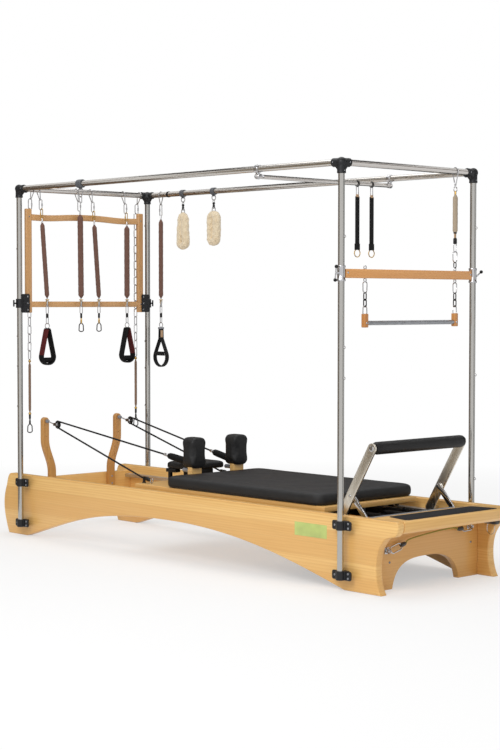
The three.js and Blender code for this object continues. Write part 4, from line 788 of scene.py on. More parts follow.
# %% Upright clamps
def clamp_skins_at(x, side, z):
    """Ears across the tube's middle, a sleeve round it and a web back to the bed."""
    face, level = side * (bed_side + gap), side * (half_spread - 0.004)
    wide, tall = 0.0515, 0.0185
    ear_outline = rounded((centre_x + x - wide, z - tall), (centre_x + x + wide, z + tall), 0.008)
    ears = plank(ear_outline, level, level - side * 0.0085, "xz", 0.002)
    sleeve = turned(both_ways([(0.0180, -tall), (0.0185, -0.0175)]), at(x, side * half_spread, z),
                    sides=40)
    web = block(at(x - 0.017, face, z - 0.0165), at(x + 0.017, level, z + 0.0165), 0.002)
    return [ears, sleeve, web]


for corner, (sx, sy) in corners.items():
    for level, z in (("low", 0.065), ("high", 0.263)):
        x = sx * half_span
        clamp = cast(f"clamp_{corner}_{level}", clamp_skins_at(x, sy, z), cast_black, 0.0017, 4)
        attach(clamp, "frame")
        heads = [screw_head(at(x + dx, sy * (half_spread - 0.0044), z + dz), (0, sy, 0), 0.0046)
                 for dx, dz in ((-0.036, 0), (0.037, 0.009), (0.037, -0.009))]
        loose(f"clamp_screws_{corner}_{level}", [(heads, zinc)])

# %% [markdown]
# ## The bed
# Each side rail is one thick board with an arched underside, a bulging head end and a rounded nose.
# The outline is a chain of cubic curves in side view. A plank function gives it thickness and rounds
# the edges over, as a router does.

# %% Side rails
arch_from, arch_long = -1.084, 2.148
leg_end, nose_under, nose_x, head_end_x, nose_drop = 1.260, 0.235, 1.350, -1.275, 0.062
arch = [(arch_from + a * arch_long, b * 0.176) for a, b in
        ((0.154, 0.54), (0.242, 1), (0.495, 1), (0.7, 1), (0.846, 0.545), (1, 0))]
hollow = [(leg_end + a * (nose_x - leg_end), b * nose_under) for a, b in
          ((-0.36, 0.21), (-0.38, 0.64), (-0.04, 0.83), (0.155, 0.95), (0.33, 0.98))]
nose = [(nose_x - a * nose_drop, bed_top - b * nose_drop) for a, b in
        ((0.55, 1), (0.1, 0.97), (0, 0.55), (0, 0.26), (0, 0.06), (0.13, 0), (0.29, 0))]
head = [(head_end_x + a * bed_top, b * bed_top) for a, b in
        ((0.202, 1), (0.141, 1), (0.114, 0.953), (0.074, 0.798), (-0.0332, 0.562), (-0.0332, 0.37),
         (0.1347, 0))]
start, leg = (arch_from, 0), (leg_end, 0)
curves = [(start, *arch[:3]), arch[2:], (arch[5], arch[5], leg, leg), (leg, *hollow[:3]),
          (*hollow[2:], nose[0]), nose[:4], nose[3:], (nose[6], nose[6], head[0], head[0]), head[:4],
          head[3:], (head[6], head[6], start, start)]
rail_outline = np.concatenate([bezier(c, 4 if c[0] == c[1] else 18) for c in curves])
rail_outline += (centre_x, 0)
rail_skin = plank(rail_outline, rail_inner, bed_side, "xz", 0.006, 4)
place(make("side_board_back", [(rail_skin, maple[0])]), "side_rail_back")
place(make("side_board_front", [(mirrored(rail_skin), maple[0])]), "side_rail_front")

# %% [markdown]
# A board closes the head end and an arched panel closes the foot end. Over the panel lies a foot
# platform with a bull-nosed outer edge. It carries a strip of black grip material whose ends are cut
# at a slant.

# %% End boards, platform and grip strip
fit_half = rail_inner - gap
head_board = block(at(-1.158, -fit_half, 0.110), at(-1.130, fit_half, 0.272), 0.003)
place(make("head_board", [(head_board, maple[1])]), "head_end_board")
arch_half, arch_tall, panel_in, panel_out = 0.204, 0.116, 1.148, 1.178
panel_arch = [(a * arch_half, b * arch_tall) for a, b in
              ((-1, 0), (-0.9, 0.9), (-0.5, 1), (0, 1), (0.5, 1), (0.9, 0.9), (1, 0))]
panel_outline = np.concatenate([[(fit_half, 0.246), (-fit_half, 0.246), (-fit_half, 0)],
                                bezier(panel_arch[:4], 20), bezier(panel_arch[3:], 20),
                                [(arch_half, 0), (fit_half, 0)]])
panel = plank(panel_outline, centre_x + panel_in, centre_x + panel_out, "yz", 0.003)
place(make("foot_panel", [(panel, maple[1])]), "foot_end_panel")
panel_screws = [screw_head(at(panel_out, y, z), X, 0.005)
                for y, z in ((-0.222, 0.109), (0.280, 0.143))]
loose("foot_panel_screws", [(panel_screws, zinc)])

low_z, round_x, lip_x, back_x = 0.2463, 0.022, 1.339, 1.186
under = bezier(((nose_x - round_x, low_z), (nose_x - round_x * 0.45, low_z),
                (nose_x, low_z + round_x * 0.45), (nose_x, low_z + round_x)), 10)
over = bezier(((nose_x, bed_top - 0.011), (nose_x, bed_top - 0.004), (nose_x - 0.004, bed_top),
               (lip_x, bed_top)), 10)
platform_outline = np.concatenate([[(back_x, low_z)], under, over,
                                   [(lip_x, bed_top), (back_x, bed_top)]])
platform = plank(platform_outline + (centre_x, 0), -fit_half, fit_half, "xz", 0.0012)
place(make("platform_board", [(platform, maple[1])]), "foot_platform")
strip_outline = np.array([(1.212, -0.262), (1.318, -0.288), (1.330, -0.278), (1.330, 0.262),
                          (1.318, 0.272), (1.212, 0.250), (1.205, 0.240), (1.205, -0.250)])
strip_outline += (centre_x, 0)
grip_strip = plank(strip_outline, bed_top - 0.0004, bed_top + 0.0012, "xy", 0.0006)
loose("platform_grip_strip", [(grip_strip, rubber)])
label = block(at(0.786, -bed_side - 0.0008, 0.194), at(0.969, -bed_side + 0.001, 0.249), 0.0004,
              "xz")
loose("side_plate", [(label, label_green)])

# %% [markdown]
# Pale tracks run along the insides of the boards for the carriage's rollers. A real track is a
# drawn metal profile, so it gets a low lip along its inner edge and a fine grain along its length.

# %% Tracks
for side, sy in (("front", -1), ("back", 1)):
    section = np.array([(0.2917, 0.240), (0.3247, 0.240), (0.3247, 0.256), (0.2957, 0.256),
                        (0.2950, 0.2545), (0.2917, 0.2545)])
    track = plank(section * (sy, 1), centre_x - 1.1297, centre_x + 1.1477, "yz", 0.0004)
    place(make(f"track_profile_{side}", [(track, track_metal)]), f"track_{side}")

# %% [markdown]
# The springs hook on a chrome bar over a black deck at the foot end. Beyond it a thinner chrome rail
# stands on three lugs of a black strip, which lies on the foot panel and has a row of bolts. Two
# notched blocks on the deck take the foot bar's strut. A tray with bolts closes the view to the floor
# under the carriage.

# %% Spring deck and bar
deck_low, deck_high, deck_half, spring_z = 0.2405, 0.2455, 0.2914, 0.2585
deck = block(at(0.905, -deck_half, deck_low), at(1.144, deck_half, deck_high), 0.0008)
hooks_bar = [rod(at(1.128, -0.273, spring_z), at(1.128, 0.273, spring_z), 0.006, 28),
             rod(at(1.138, -0.283, 0.2845), at(1.138, 0.283, 0.2845), 0.0045, 20)]
hooks_bar += [block(at(1.1335, y - 0.004, 0.280), at(1.1525, y + 0.004, 0.289), 0.001)
              for y in (-0.25, 0, 0.25)]
notch = [(0.023, 0.245), (0.023, 0.2677), (0.014, 0.2712), (0.008, 0.2697), (0, 0.2682)]
outline = np.array(notch + [(-x, z) for x, z in notch[-2::-1]]) + (centre_x + 1.090, 0)
notch_blocks = []
for sy in (-1, 1):
    near, far = sy * 0.267, sy * 0.279
    notch_blocks += [plank(outline, near, far, "xz", 0.001),
                     block(at(1.120, near, 0.245), at(1.136, far, 0.267), 0.0015)]
deck_piece = make("spring_deck", [(deck, matt_black), (notch_blocks, black_plastic), (hooks_bar, chrome)])
place(deck_piece, "spring_bar")
tray = block(at(0.560, -deck_half, deck_low), at(0.903, deck_half, deck_high), 0.0008)
tray_bolts = [rod(at(x, y, 0.2450), at(x, y, 0.2545), 0.0065, 16, 0.001)
              for x in (0.850, 0.740) for y in (-0.225, -0.075, 0.075, 0.225)]
loose("carriage_tray", [(tray, matt_black), (tray_bolts, chrome)])
bolt_strip = block(at(1.152, -0.290, 0.2461), at(1.182, 0.290, 0.2890), 0.0012)
bolts = [screw_head(at(1.166, y, 0.2890), Z, 0.0052) for y in np.linspace(-0.27, 0.27, 12)]
loose("bolt_strip", [(bolt_strip, cast_black), (bolts, chrome)])

# %% [markdown]
# ## Risers and pulleys
# Two posts of golden wood rise from the head board and lean outwards in a soft curve. Three holes in
# each let the pulley move up and down. The holes are cut by a boolean with three rods.

# %% Risers
riser_low, riser_high, riser_half, riser_back, riser_face = 0.196, 0.553, 0.019, -1.1297, -1.1057


def riser_middle(z):
    """Sideways place of the post's middle: it moves out on a smooth step between two heights."""
    share = np.clip((z - 0.300) / 0.160, 0, 1)
    return 0.186 + (pulley_y - 0.186) * share * share * (3 - 2 * share)


def pierced(piece, rods):
    """Cuts rods out of the piece."""
    cutter = make("cutter", [(rods, piece.data.materials[0])])
    bore = piece.modifiers.new("holes", "BOOLEAN")
    bore.object, bore.solver = cutter, "EXACT"
    settled(piece)
    bpy.data.objects.remove(cutter)
    return piece


rise = np.linspace(riser_low, riser_high, 28)
crown = np.linspace(0, np.pi, 14)[1:-1]
right = np.stack([riser_middle(rise) + riser_half, rise], -1)
left = np.stack([riser_middle(rise) - riser_half, rise], -1)[::-1]
top = np.stack([pulley_y + riser_half * np.cos(crown), riser_high + riser_half * np.sin(crown)], -1)
hole_heights = riser_low + (riser_high + riser_half - riser_low) * np.array([0.45, 0.6, 0.75])
for side, sy in (("front", -1), ("back", 1)):
    outline = np.concatenate([right, top, left]) * (sy, 1)
    board = plank(outline, centre_x + riser_back, centre_x + riser_face, "yz", 0.0035, 4)
    post = make(f"riser_post_{side}", [(board, golden)])
    holes = [rod(at(-1.14, y, z), at(-1.09, y, z), 0.0026, 16, 0.0002)
             for y, z in zip(sy * riser_middle(hole_heights), hole_heights)]
    place(pierced(post, holes), f"riser_{side}")
    heads = [screw_head(at(riser_face, sy * riser_middle(z), z), X, 0.005) for z in (0.215, 0.252)]
    loose(f"riser_screws_{side}", [(heads, zinc)])

# %% [markdown]
# A ribbed grey knob clamps each pulley to its post. A chrome fork carries a grooved black wheel. Small
# chrome spots sit on the wheel's faces, so that a viewer sees it turn.

# %% Pulleys
lobes = np.arange(36) / 36 * 2 * np.pi
ribbed = np.stack([np.cos(lobes), np.sin(lobes)], -1) * (1 - 0.09 * (np.cos(12 * lobes) < 0))[:, None]
for side, sy in (("front", -1), ("back", 1)):
    y = sy * pulley_y
    along = np.array([0.0003, 0.002, 0.004, 0.017, 0.019, 0.0203])
    knob = swept(at(riser_face, y, riser_high) + along[:, None] * X,
                 np.array([6, 8.6, 9, 9, 8.4, 6]) * 1e-3, Z, section=ribbed)
    cap = turned([(0.006, 0), (0.0055, 0.0012), (0.002, 0.0018)],
                 at(riser_face + 0.020, y, riser_high), X)
    stem = rod(at(riser_face + 0.018, y, riser_high), at(-1.036, y, pulley_z), 0.003)
    fork = [block(at(-1.039, y - 0.0083, 0.534), at(-1.034, y + 0.0083, 0.548), 0.0015)]
    cheek_outline = rounded((centre_x - 1.037, 0.534), (centre_x - 1.003, 0.548), 0.0055)
    for cheek in (-1, 1):
        outer = y + cheek * 0.0083
        fork += [plank(cheek_outline, y + cheek * 0.0058, outer, "xz", 0.0006),
                 screw_head(at(pulley_x, outer, pulley_z), (0, cheek, 0), 0.0036)]
    fork.append(rod(at(pulley_x, y - 0.0085, pulley_z), at(pulley_x, y + 0.0085, pulley_z), 0.003))
    place(make(f"pulley_fork_{side}", [(fork + [stem], chrome), ([knob, cap], grey_plastic)]),
          f"pulley_hanger_{side}")
    groove = both_ways([(0.0034, -0.0055), (0.009, -0.0055), (0.010, -0.0048), (0.0155, -0.0048),
                        (0.017, -0.0055), (0.017, -0.0046), (0.0122, -0.0016)])
    hub = at(pulley_x, y, pulley_z)
    wheel = turned(groove, hub, Y, 48, closed=True)
    spots = [screw_head(hub + (0.0128 * np.cos(a), f * 0.0046, 0.0128 * np.sin(a)), (0, f, 0),
                        0.0016) for a in np.arange(5) / 5 * 2 * np.pi for f in (-1, 1)]
    place(make(f"pulley_disc_{side}", [(wheel, black_plastic), (spots, chrome)]), f"pulley_wheel_{side}")

# %% [markdown]
# ## The carriage
# A pale board rides on two axles with rollers. On it stand the blocks of the shoulder rests, the
# block under the headrest and two black rope posts. Under it hang the axle plates and spring anchors.

# %% Carriage board
board_skins = [block(at(-0.345, -0.285, 0.285), at(0.876, 0.285, 0.309), 0.004)]
blocks, plates, posts, plungers, rings = [], [], [], [], []
axle_places, axle_z, axle_half = (-0.250, 0.740), 0.2703, 0.3125
spring_places = (-0.150, -0.040)
for sy in (-1, 1):
    y, post_y = sy * 0.130, sy * rope_start[1]
    blocks.append(block(at(-0.1173, sy * 0.099, 0.308), at(-0.0873, sy * 0.161, 0.4017), 0.003))
    plungers.append(rod(at(-0.180, y, 0.3735), at(-0.116, y, 0.3735), 0.0095, 24, 0.0015))
    posts += [block(at(-0.322, sy * 0.104, 0.3085), at(-0.306, sy * 0.088, 0.3680), 0.002),
              block(at(-0.328, sy * 0.112, 0.3520), at(-0.262, sy * 0.078, 0.3690), 0.002),
              turned([(0.010, 0), (0.010, 0.003), (0.0065, 0.005), (0.0065, 0.024), (0.007, 0.026),
                      (0.007, 0.0288), (0.005, 0.030)], at(-0.331, post_y, 0.309)),
              turned([(0.003, 0), (0.0085, 0.004), (0.0095, 0.014), (0.0080, 0.030), (0.0040, 0.036)],
                     at(-0.320, post_y, 0.332), (1, 0, -0.25), 20)]
    rings.append(wire_loop(at(-0.276, post_y, 0.3215), 0.0095, 0.0095, 0.0022, Y, steps=20))
    for x in axle_places:
        outline = rounded((centre_x + x - 0.015, 0.254), (centre_x + x + 0.015, 0.287), 0.006)
        plates.append(plank(outline, sy * 0.266, sy * 0.272, "xz", 0.0008))
posts.append(block(at(-0.275, -0.050, 0.308), at(-0.176, 0.050, 0.3687), 0.003))
plates += [block(at(0.850, y - 0.0085, 0.2505), at(0.870, y + 0.0085, 0.286), 0.001)
           for y in spring_places]
deck_parts = [(board_skins, maple[0]), (blocks, maple[1]), (plates, cast_black),
              (posts, black_plastic), (plungers, grey_plastic), (rings, chrome)]
place(make("carriage_deck", deck_parts), "carriage_board")
roller = both_ways([(0.006, -0.0075), (0.012, -0.0075), (0.014, -0.006)])
for end, x in zip(("head", "foot"), axle_places):
    shaft = rod(at(x, -axle_half, axle_z), at(x, axle_half, axle_z), 0.005, 20)
    rollers = [turned(roller, at(x, sy * 0.305, axle_z), Y, 32) for sy in (-1, 1)]
    spots = [screw_head(at(x + 0.0095 * np.cos(a), sy * axle_half, axle_z + 0.0095 * np.sin(a)),
                        (0, sy, 0), 0.0012) for sy in (-1, 1) for a in np.arange(3) / 3 * 2 * np.pi]
    place(make(f"roller_pair_{end}", [(shaft, zinc), (rollers, black_plastic), (spots, zinc)]),
          f"roller_axle_{end}")

# %% [markdown]
# ## Cushions
# The mat, the headrest and the shoulder rests are foam under vinyl. A rounded form is remeshed into
# even cells, then a cloth simulation with inner pressure lets the cover swell and pull in along its
# edges. How far a point may move is capped, and points that rest on wood keep their height.

# %% Cushion maker
def cushion_rows(low, high, edge, round_xy, crown=0.0):
    """Rounded rectangles from the underside to the top: the inset follows a quarter arc at both
    edges, and the top closes in shrinking rows that rise by the crown."""
    low, high = np.asarray(low, float), np.asarray(high, float)
    tall = high[2] - low[2] - crown
    angle = np.linspace(0, np.pi / 2, 6)
    inset, rise = edge * (1 - np.sin(angle)), edge * (1 - np.cos(angle))
    insets = np.concatenate([inset * 0.6, inset[::-1]])
    levels = np.concatenate([low[2] + rise * 0.6, low[2] + tall - rise[::-1]])
    rings = [rounded(low[:2] + i, high[:2] - i, max(round_xy - i, 0.004), 6) for i in insets]
    shares = np.array([0.93, 0.8, 0.6, 0.35, 0.12])
    middle_xy = (low[:2] + high[:2]) / 2
    rings += [middle_xy + (rings[-1] - middle_xy) * share for share in shares]
    levels = np.concatenate([levels, low[2] + tall + crown * (1 - shares ** 2)])
    return np.array([np.column_stack([ring, np.full(len(ring), z)]) for ring, z in zip(rings, levels)])


def stuffed(name, rows, finish, voxel, cap, resting):
    """Remeshed form swollen by cloth under pressure; a point moves by cap at most, and the points
    below the resting height keep their own."""
    piece = make(name, [(skin(rows), finish)])
    remesh = piece.modifiers.new("cells", "REMESH")
    remesh.mode, remesh.voxel_size = "VOXEL", voxel
    settled(piece)
    mesh = piece.data
    before = np.empty(len(mesh.vertices) * 3)
    mesh.vertices.foreach_get("co", before)
    before = before.reshape(-1, 3)
    cloth = piece.modifiers.new("swell", "CLOTH")
    cloth.settings.quality = 4
    cloth.settings.use_pressure = True
    cloth.settings.uniform_pressure_force = 4
    cloth.settings.effector_weights.gravity = 0
    for step in range(1, 21):
        bpy.context.scene.frame_set(step)
    graph = bpy.context.evaluated_depsgraph_get()
    swollen = piece.evaluated_get(graph).data
    after = np.empty(len(mesh.vertices) * 3)
    swollen.vertices.foreach_get("co", after)
    move = after.reshape(-1, 3) - before
    reach = np.linalg.norm(move, axis=1, keepdims=True)
    move *= np.minimum(1, cap / np.maximum(reach, 1e-9))
    move[before[:, 2] < resting] *= (1, 1, 0)
    piece.modifiers.clear()
    bpy.context.scene.frame_set(1)
    mesh.vertices.foreach_set("co", (before + move).ravel())
    smooth = piece.modifiers.new("ease", "SMOOTH")
    smooth.factor, smooth.iterations = 0.5, 4
    finer = piece.modifiers.new("finer", "SUBSURF")
    finer.levels = finer.render_levels = 1
    settled(piece, 80)
    return piece


# %% [markdown]
# The mat is one long firm pad with soft edges. It rests on the board, so its underside stays flat. A
# shoulder rest stands upright, so its rows are made lying down, with X and Z swapped.

# %% Mat, headrest and shoulder rests
mat_low, mat_high = at(-0.128, -0.298, 0.3096), at(0.861, 0.298, 0.3600)
mat_rows = cushion_rows(mat_low, mat_high, 0.019, 0.046, 0.0006)
mat = stuffed("mat_cushion", mat_rows, mat_vinyl, 0.008, 0.003, mat_low[2] + 0.004)
place(mat, "carriage_mat")
rest_low, rest_high = at(-0.332, -0.115, 0.3695), at(-0.159, 0.115, 0.4005)
rest_rows = cushion_rows(rest_low, rest_high, 0.010, 0.022, 0.003)
headrest = stuffed("headrest_cushion", rest_rows, rest_vinyl, 0.004, 0.004, rest_low[2] + 0.003)
place(headrest, "headrest_pad")
for side, near, far in (("front", -0.174, -0.086), ("back", 0.086, 0.174)):
    pad_low, pad_high = at(-0.142, near, 0.3870), at(-0.067, far, 0.5280)
    rows = cushion_rows(pad_low[::-1], pad_high[::-1], 0.012, 0.027, 0.001)[:, ::-1, ::-1]
    pad = stuffed(f"shoulder_cushion_{side}", rows, rest_vinyl, 0.004, 0.004, pad_low[2] + 0.003)
    place(pad, f"shoulder_rest_{side}")

# %% [markdown]
# ## Carriage springs
# Coil springs join the carriage to the hook bar. A coil is a wire swept along a screw line. It is
# stretched when the carriage leaves.

# %% Springs under the carriage
def carriage_spring(name, y, wire_finish):
    """Plug, coil, plug and hook in one line from the carriage's foot end to the bar."""
    z, r = spring_z, 0.0085
    helix = coil(at(0.893, y, z), at(1.099, y, z), r - 0.0002, 0.0017, 26, 12, 6)
    plugs = [turned([(0.002, 0), (0.006, 0.001), (r, 0.006), (r, 0.021), (0.007, 0.024)],
                    at(0.871, y, z), X, 20),
             turned([(r, 0), (r, 0.003), (0.004, 0.007), (0.003, 0.012)], at(1.0985, y, z), X, 20)]
    hook = wire_loop(at(1.117, y, z), 0.0062, 0.0095, 0.0015, Y, upward=X, steps=20)
    piece = make(name, [(helix, wire_finish), (plugs, black_plastic), (hook, chrome)])
    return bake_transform(piece)


for number, y, wire_finish in zip((1, 2), spring_places, (spring_orange, spring_dark)):
    spring = carriage_spring(f"bed_spring_{number}", y, wire_finish)
    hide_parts(f"carriage_spring_{number}")
for number, y in ((3, 0.080), (4, 0.200)):
    carriage_spring(f"bed_spring_{number}", y, spring_dark)

# %% [markdown]
# ## Foot bar
# Two flat chromed arms turn on pins in the side rails and carry a padded roll. A pair of struts
# joined by a rod holds the bar up. An arm's outline is two half circles joined by straight lines.

# %% Arms and struts
def arm_outline(start, end, wide):
    """Half circle round each end point, joined by straight sides."""
    start, end = np.asarray(start, float), np.asarray(end, float)
    turn = math.atan2(*(end - start)[::-1])
    angle = np.linspace(np.pi / 2, 3 * np.pi / 2, 16) + turn
    arc = np.stack([np.cos(angle), np.sin(angle)], -1) * wide / 2
    return np.concatenate([start + arc, end - arc]) + (centre_x, 0)


pivot, roll, strut_foot = np.array([0.957, 0.268]), np.array([1.131, 0.563]), (1.090, 0.278)
strut_pin = pivot + 0.33 * (roll - pivot)
deck_clear, arm_face = 0.2722, 0.2793


def crosswise(place_xz, start, end, radius, sides=24):
    """Rod square to the side view, at a place in it."""
    x, z = place_xz
    return rod(at(x, start, z), at(x, end, z), radius, sides)


arms, arm_bolts, struts = [], [], []
for sy in (-1, 1):
    arms += [plank(arm_outline(pivot, roll, 0.042), sy * 0.2705, sy * 0.2795, "xz", 0.0014),
             crosswise(pivot, sy * 0.271, sy * 0.339, 0.006)]
    arm_bolts += [turned([(0.012, 0), (0.012, 0.001), (0.008, 0.0022), (0.008, 0.003), (0.003, 0.003)],
                         at(roll[0], sy * arm_face, roll[1]), (0, sy, 0), 24),
                  screw_head(at(strut_pin[0], sy * arm_face, strut_pin[1]), (0, sy, 0), 0.006)]
    outline = arm_outline(strut_pin, strut_foot, 0.024)
    outline[:, 1] = np.maximum(outline[:, 1], deck_clear)
    struts += [plank(outline, sy * 0.2632, sy * 0.2702, "xz", 0.001),
               crosswise(strut_pin, sy * 0.2635, sy * 0.2790, 0.0036)]
roll_core = crosswise(roll, -0.272, 0.272, 0.0106, 28)
place(make("footbar_arms", [(arms, brushed_bar), (arm_bolts, chrome), (roll_core, zinc)]),
      "footbar_frame")
strut_rod = crosswise(strut_foot, -0.2700, 0.2700, 0.0057)
place(make("footbar_struts", [(struts, chrome), (strut_rod, zinc)]), "footbar_strut")
share = np.linspace(0, 1, 40)
pad_start, pad_long, pad_radius = -0.2640, 0.5510, 0.0256
near_round = 0.0045 * np.maximum(1 - share / 0.012, 0) ** 2
far_round = pad_radius * (1 - np.sqrt(1 - np.clip(1 - (1 - share) / 0.040, 0, 0.94) ** 2))
pad_rows = np.column_stack([pad_radius - near_round - far_round, pad_long * share])
pad_rows = np.concatenate([[(0.0108, 0.0)], pad_rows, [(0.0050, pad_long + 0.0008)]])
pad_skin = turned(pad_rows, at(roll[0], pad_start, roll[1]), Y, 48)
roll_pad = make("footbar_roll", [(pad_skin, roll_vinyl)], 60)
place(roll_pad, "footbar_pad")

# %% [markdown]
# ## Crossbar and straps
# A chrome bar hangs under the two long top rails. A split clamp at each end slides on the rail, and
# a wing screw locks it. Two straps hang from the bar: a dark steel loop, a chrome link, a tan
# stitched top, black webbing with a sewn end, and a ring.

# %% Sliding crossbar
bar_x, bar_z, bar_half, collar_bore = 0.604, rail_z - 0.031, 0.414, 0.0134
bar = crosswise((bar_x, bar_z), -bar_half, bar_half, 0.009, 36)
collar = both_ways([(collar_bore, -0.011), (0.0162, -0.011), (0.0170, -0.010)])
ring = both_ways([(0.0100, -0.008), (0.0112, -0.007)])
wing = arm_outline((bar_x + 0.006, rail_z - 0.024), (bar_x + 0.024, rail_z - 0.034), 0.009)
bar_clamps = []
for sy in (-1, 1):
    y = sy * half_spread
    bar_clamps += [turned(collar, at(bar_x, y, rail_z), X, 40, closed=True),
                   block(at(bar_x - 0.006, y - 0.007, bar_z - 0.004),
                         at(bar_x + 0.006, y + 0.007, rail_z - 0.0135), 0.0015),
                   turned(ring, at(bar_x, y, bar_z), Y, 32),
                   screw_head(at(bar_x, sy * bar_half, bar_z), (0, sy, 0), 0.0065),
                   plank(wing, y - sy * 0.010, y - sy * 0.0125, "xz", 0.0008),
                   rod(at(bar_x + 0.012, y, rail_z - 0.022), at(bar_x - 0.013, y, rail_z - 0.022),
                       0.0032, 12)]
place(make("sliding_crossbar", [(bar, stainless[1]), (bar_clamps, chrome)]), "crossbar")


def webbing_strip(x, y, top, bottom, wide, thick):
    """Flat strap hung from top to bottom, as a plank whose long edges are rounded."""
    low, high = at(x - thick / 2, y - wide / 2, 0), at(x + thick / 2, y + wide / 2, 0)
    outline = rounded(low[:2], high[:2], thick * 0.45, 4)
    levels = np.linspace(top, bottom, max(3, int((top - bottom) / 0.012)))
    return skin([np.column_stack([outline, np.full(len(outline), z)]) for z in levels])


for number, y in ((1, 0.194), (2, 0.285)):
    ring = wire_loop(at(bar_x, y, bar_z - 0.0008), 0.0125, 0.0125, 0.0024, Y)
    link = wire_loop(at(bar_x, y, bar_z - 0.0310), 0.0068, 0.0205, 0.0018, X, steps=24)
    tan_tip = webbing_strip(bar_x, y, 1.612, 1.600, 0.0180, 0.0056)
    band = [webbing_strip(bar_x, y, 1.603, 1.376, 0.0256, 0.0042),
            webbing_strip(bar_x, y, 1.398, 1.3705, 0.0310, 0.0080)]
    seams = [webbing_strip(bar_x, y, z, z - 0.0012, 0.0262, 0.0050) for z in (1.592, 1.4035)]
    d_ring = wire_loop(at(bar_x, y, 1.3565), 0.0182, 0.0170, 0.0021, X, steps=32)
    parts = [(ring, spring_dark), (link, chrome), (tan_tip, tan_webbing), (band, webbing),
             (seams, black_foam), (d_ring, brass)]
    place(make(f"hanging_strap_{number}", parts), f"strap_{number}")

# %% [markdown]
# ## Push-through slat
# A bar of orange wood crosses between the foot uprights. At each end a chrome sleeve and clamp slide
# on the upright, and a black T-handle locks the clamp. Eyes above and below the wood take springs.

# %% Slat
slat_x, slat_z, eye_places = 1.080, 1.256, (-0.26532, 0.28542)
slat_wood = block(at(1.069, -0.3838, slat_z - 0.018), at(1.091, 0.3838, slat_z + 0.018), 0.0035)
collar = both_ways([(collar_bore, -0.031), (0.0165, -0.031), (0.0172, -0.030), (0.0172, -0.024),
                    (0.0158, -0.022)])
metal, handles = [], []
for sy, lean in ((-1, 0.12), (1, 0.95)):
    hub, way = at(slat_x, sy * 0.4325, slat_z), np.array([math.sin(lean), 0, math.cos(lean)])
    metal += [turned(collar, at(slat_x, sy * half_spread, slat_z), Z, 44, closed=True),
              screw_head(at(1.0911, sy * 0.3740, slat_z + 0.003), X, 0.0044),
              rod(at(slat_x, sy * 0.4168, slat_z), hub, 0.0042, 16),
              rod(hub - 0.024 * way, hub + 0.024 * way, 0.0028, 12)]
    handles += [ball(hub - 0.0265 * way, 0.0072), ball(hub + 0.0265 * way, 0.0072)]
for y in eye_places:
    for up in (-1, 1):
        eye, foot = at(slat_x, y, slat_z + up * 0.025), at(slat_x, y, slat_z + up * 0.0178)
        metal += [wire_loop(eye, 0.0070, 0.0070, 0.0020, X, steps=24),
                  turned([(0.0062, 0), (0.0062, 0.0012), (0.003, 0.003)], foot, (0, 0, up), 16)]
place(make("slat_bar", [(slat_wood, orange), (metal, chrome), (handles, black_plastic)]), "push_slat")

# %% [markdown]
# Under the eyes hang two carabiners, two short chains and the trapeze bar with its wooden ends. A
# chain is a row of ovals, each turned a quarter from the last.

# %% Trapeze
def link_chain(x, y, top, bottom, count, wide, wire):
    """Row of oval links between two heights; neighbours pass through each other."""
    pitch = (top - bottom) / count
    high = pitch / 2 + wire
    return [wire_loop(at(x, y, top - (i + 0.5) * pitch), wide, high, wire, (X, Y)[i % 2],
                      steps=16, sides=6) for i in range(count)]


metal, chains, end_blocks, trapeze_z = [], [], [], 1.060
for y in eye_places:
    metal += [wire_loop(at(slat_x, y, 1.2010), 0.0115, 0.0225, 0.0021, X, 0.3, (0, 0, -1)),
              wire_loop(at(slat_x, y, 1.1115), 0.0110, 0.0185, 0.0021, X, 0.35),
              screw_head(at(1.0907, y, trapeze_z), X, 0.0046)]
    chains += link_chain(slat_x, y, 1.1790, 1.1265, 2, 0.0072, 0.0024)
    end_blocks.append(block(at(1.0692, y - 0.0108, 1.0422), at(1.0908, y + 0.0108, 1.0970), 0.003))
trapeze_bar = crosswise((slat_x, trapeze_z), -0.2553, 0.2753, 0.009, 36)
place(make("trapeze_bar", [(trapeze_bar, zinc), (metal, chrome), (chains, spring_dark),
                           (end_blocks, block_wood)]), "trapeze")

# %% [markdown]
# The spring above the slat wears a ribbed beige sleeve that is gathered at the top. It joins the
# rail to the slat and gets longer when the slat goes down.

# %% Sleeves of springs
def sleeve_skin_along(start, end, radius, folds=0.0006, count=60, sides=28, seed=0.0, tip=0.014):
    """Cloth tube with pointed ends and shallow gathers: the radius varies as a sum of three waves
    along the length, and over the length of a tip it shrinks in a straight line to a third."""
    start, end = np.asarray(start, float), np.asarray(end, float)
    long = np.linalg.norm(end - start)
    s = np.linspace(0, 1, count)
    waves = np.sin(s * long * 180 + seed) + 0.7 * np.sin(s * long * 331 + 2 * seed)
    waves += 0.5 * np.sin(s * long * 77 + seed)
    close = 0.34 + 0.66 * np.clip(np.minimum(s, 1 - s) * long / tip, 0, 1)
    profile = np.column_stack([(radius - folds + folds * 0.45 * waves) * close, s * long])
    return turned(profile, start, end - start, sides)


def top_hook(x0, y0, facing, lean, bottom):
    """Wire that lies over a top rail on a half circle and closes in a triangle below it. Lean moves
    the triangle's point sideways."""
    angle = np.linspace(-0.25, np.pi + 0.25, 18)
    across, rise = 0.0156 * np.cos(angle), 0.0156 * np.sin(angle)
    sides_low = np.linspace(0, 1, 9)[1:, None]
    left, right = np.array([across[-1], rise[-1]]), np.array([across[0], rise[0]])
    point = np.array([lean, bottom - rail_z])
    path = np.concatenate([np.column_stack([across, rise]),
                           left + sides_low * (point - (0.002, 0) - left),
                           (right + sides_low * (point + (0.002, 0) - right))[::-1]])
    sideways, square = (X, Y) if facing == "y" else (Y, X)
    world = at(x0, y0, rail_z) + path[:, :1] * sideways + path[:, 1:] * Z
    return swept(world, 0.0021, square, True, 8)


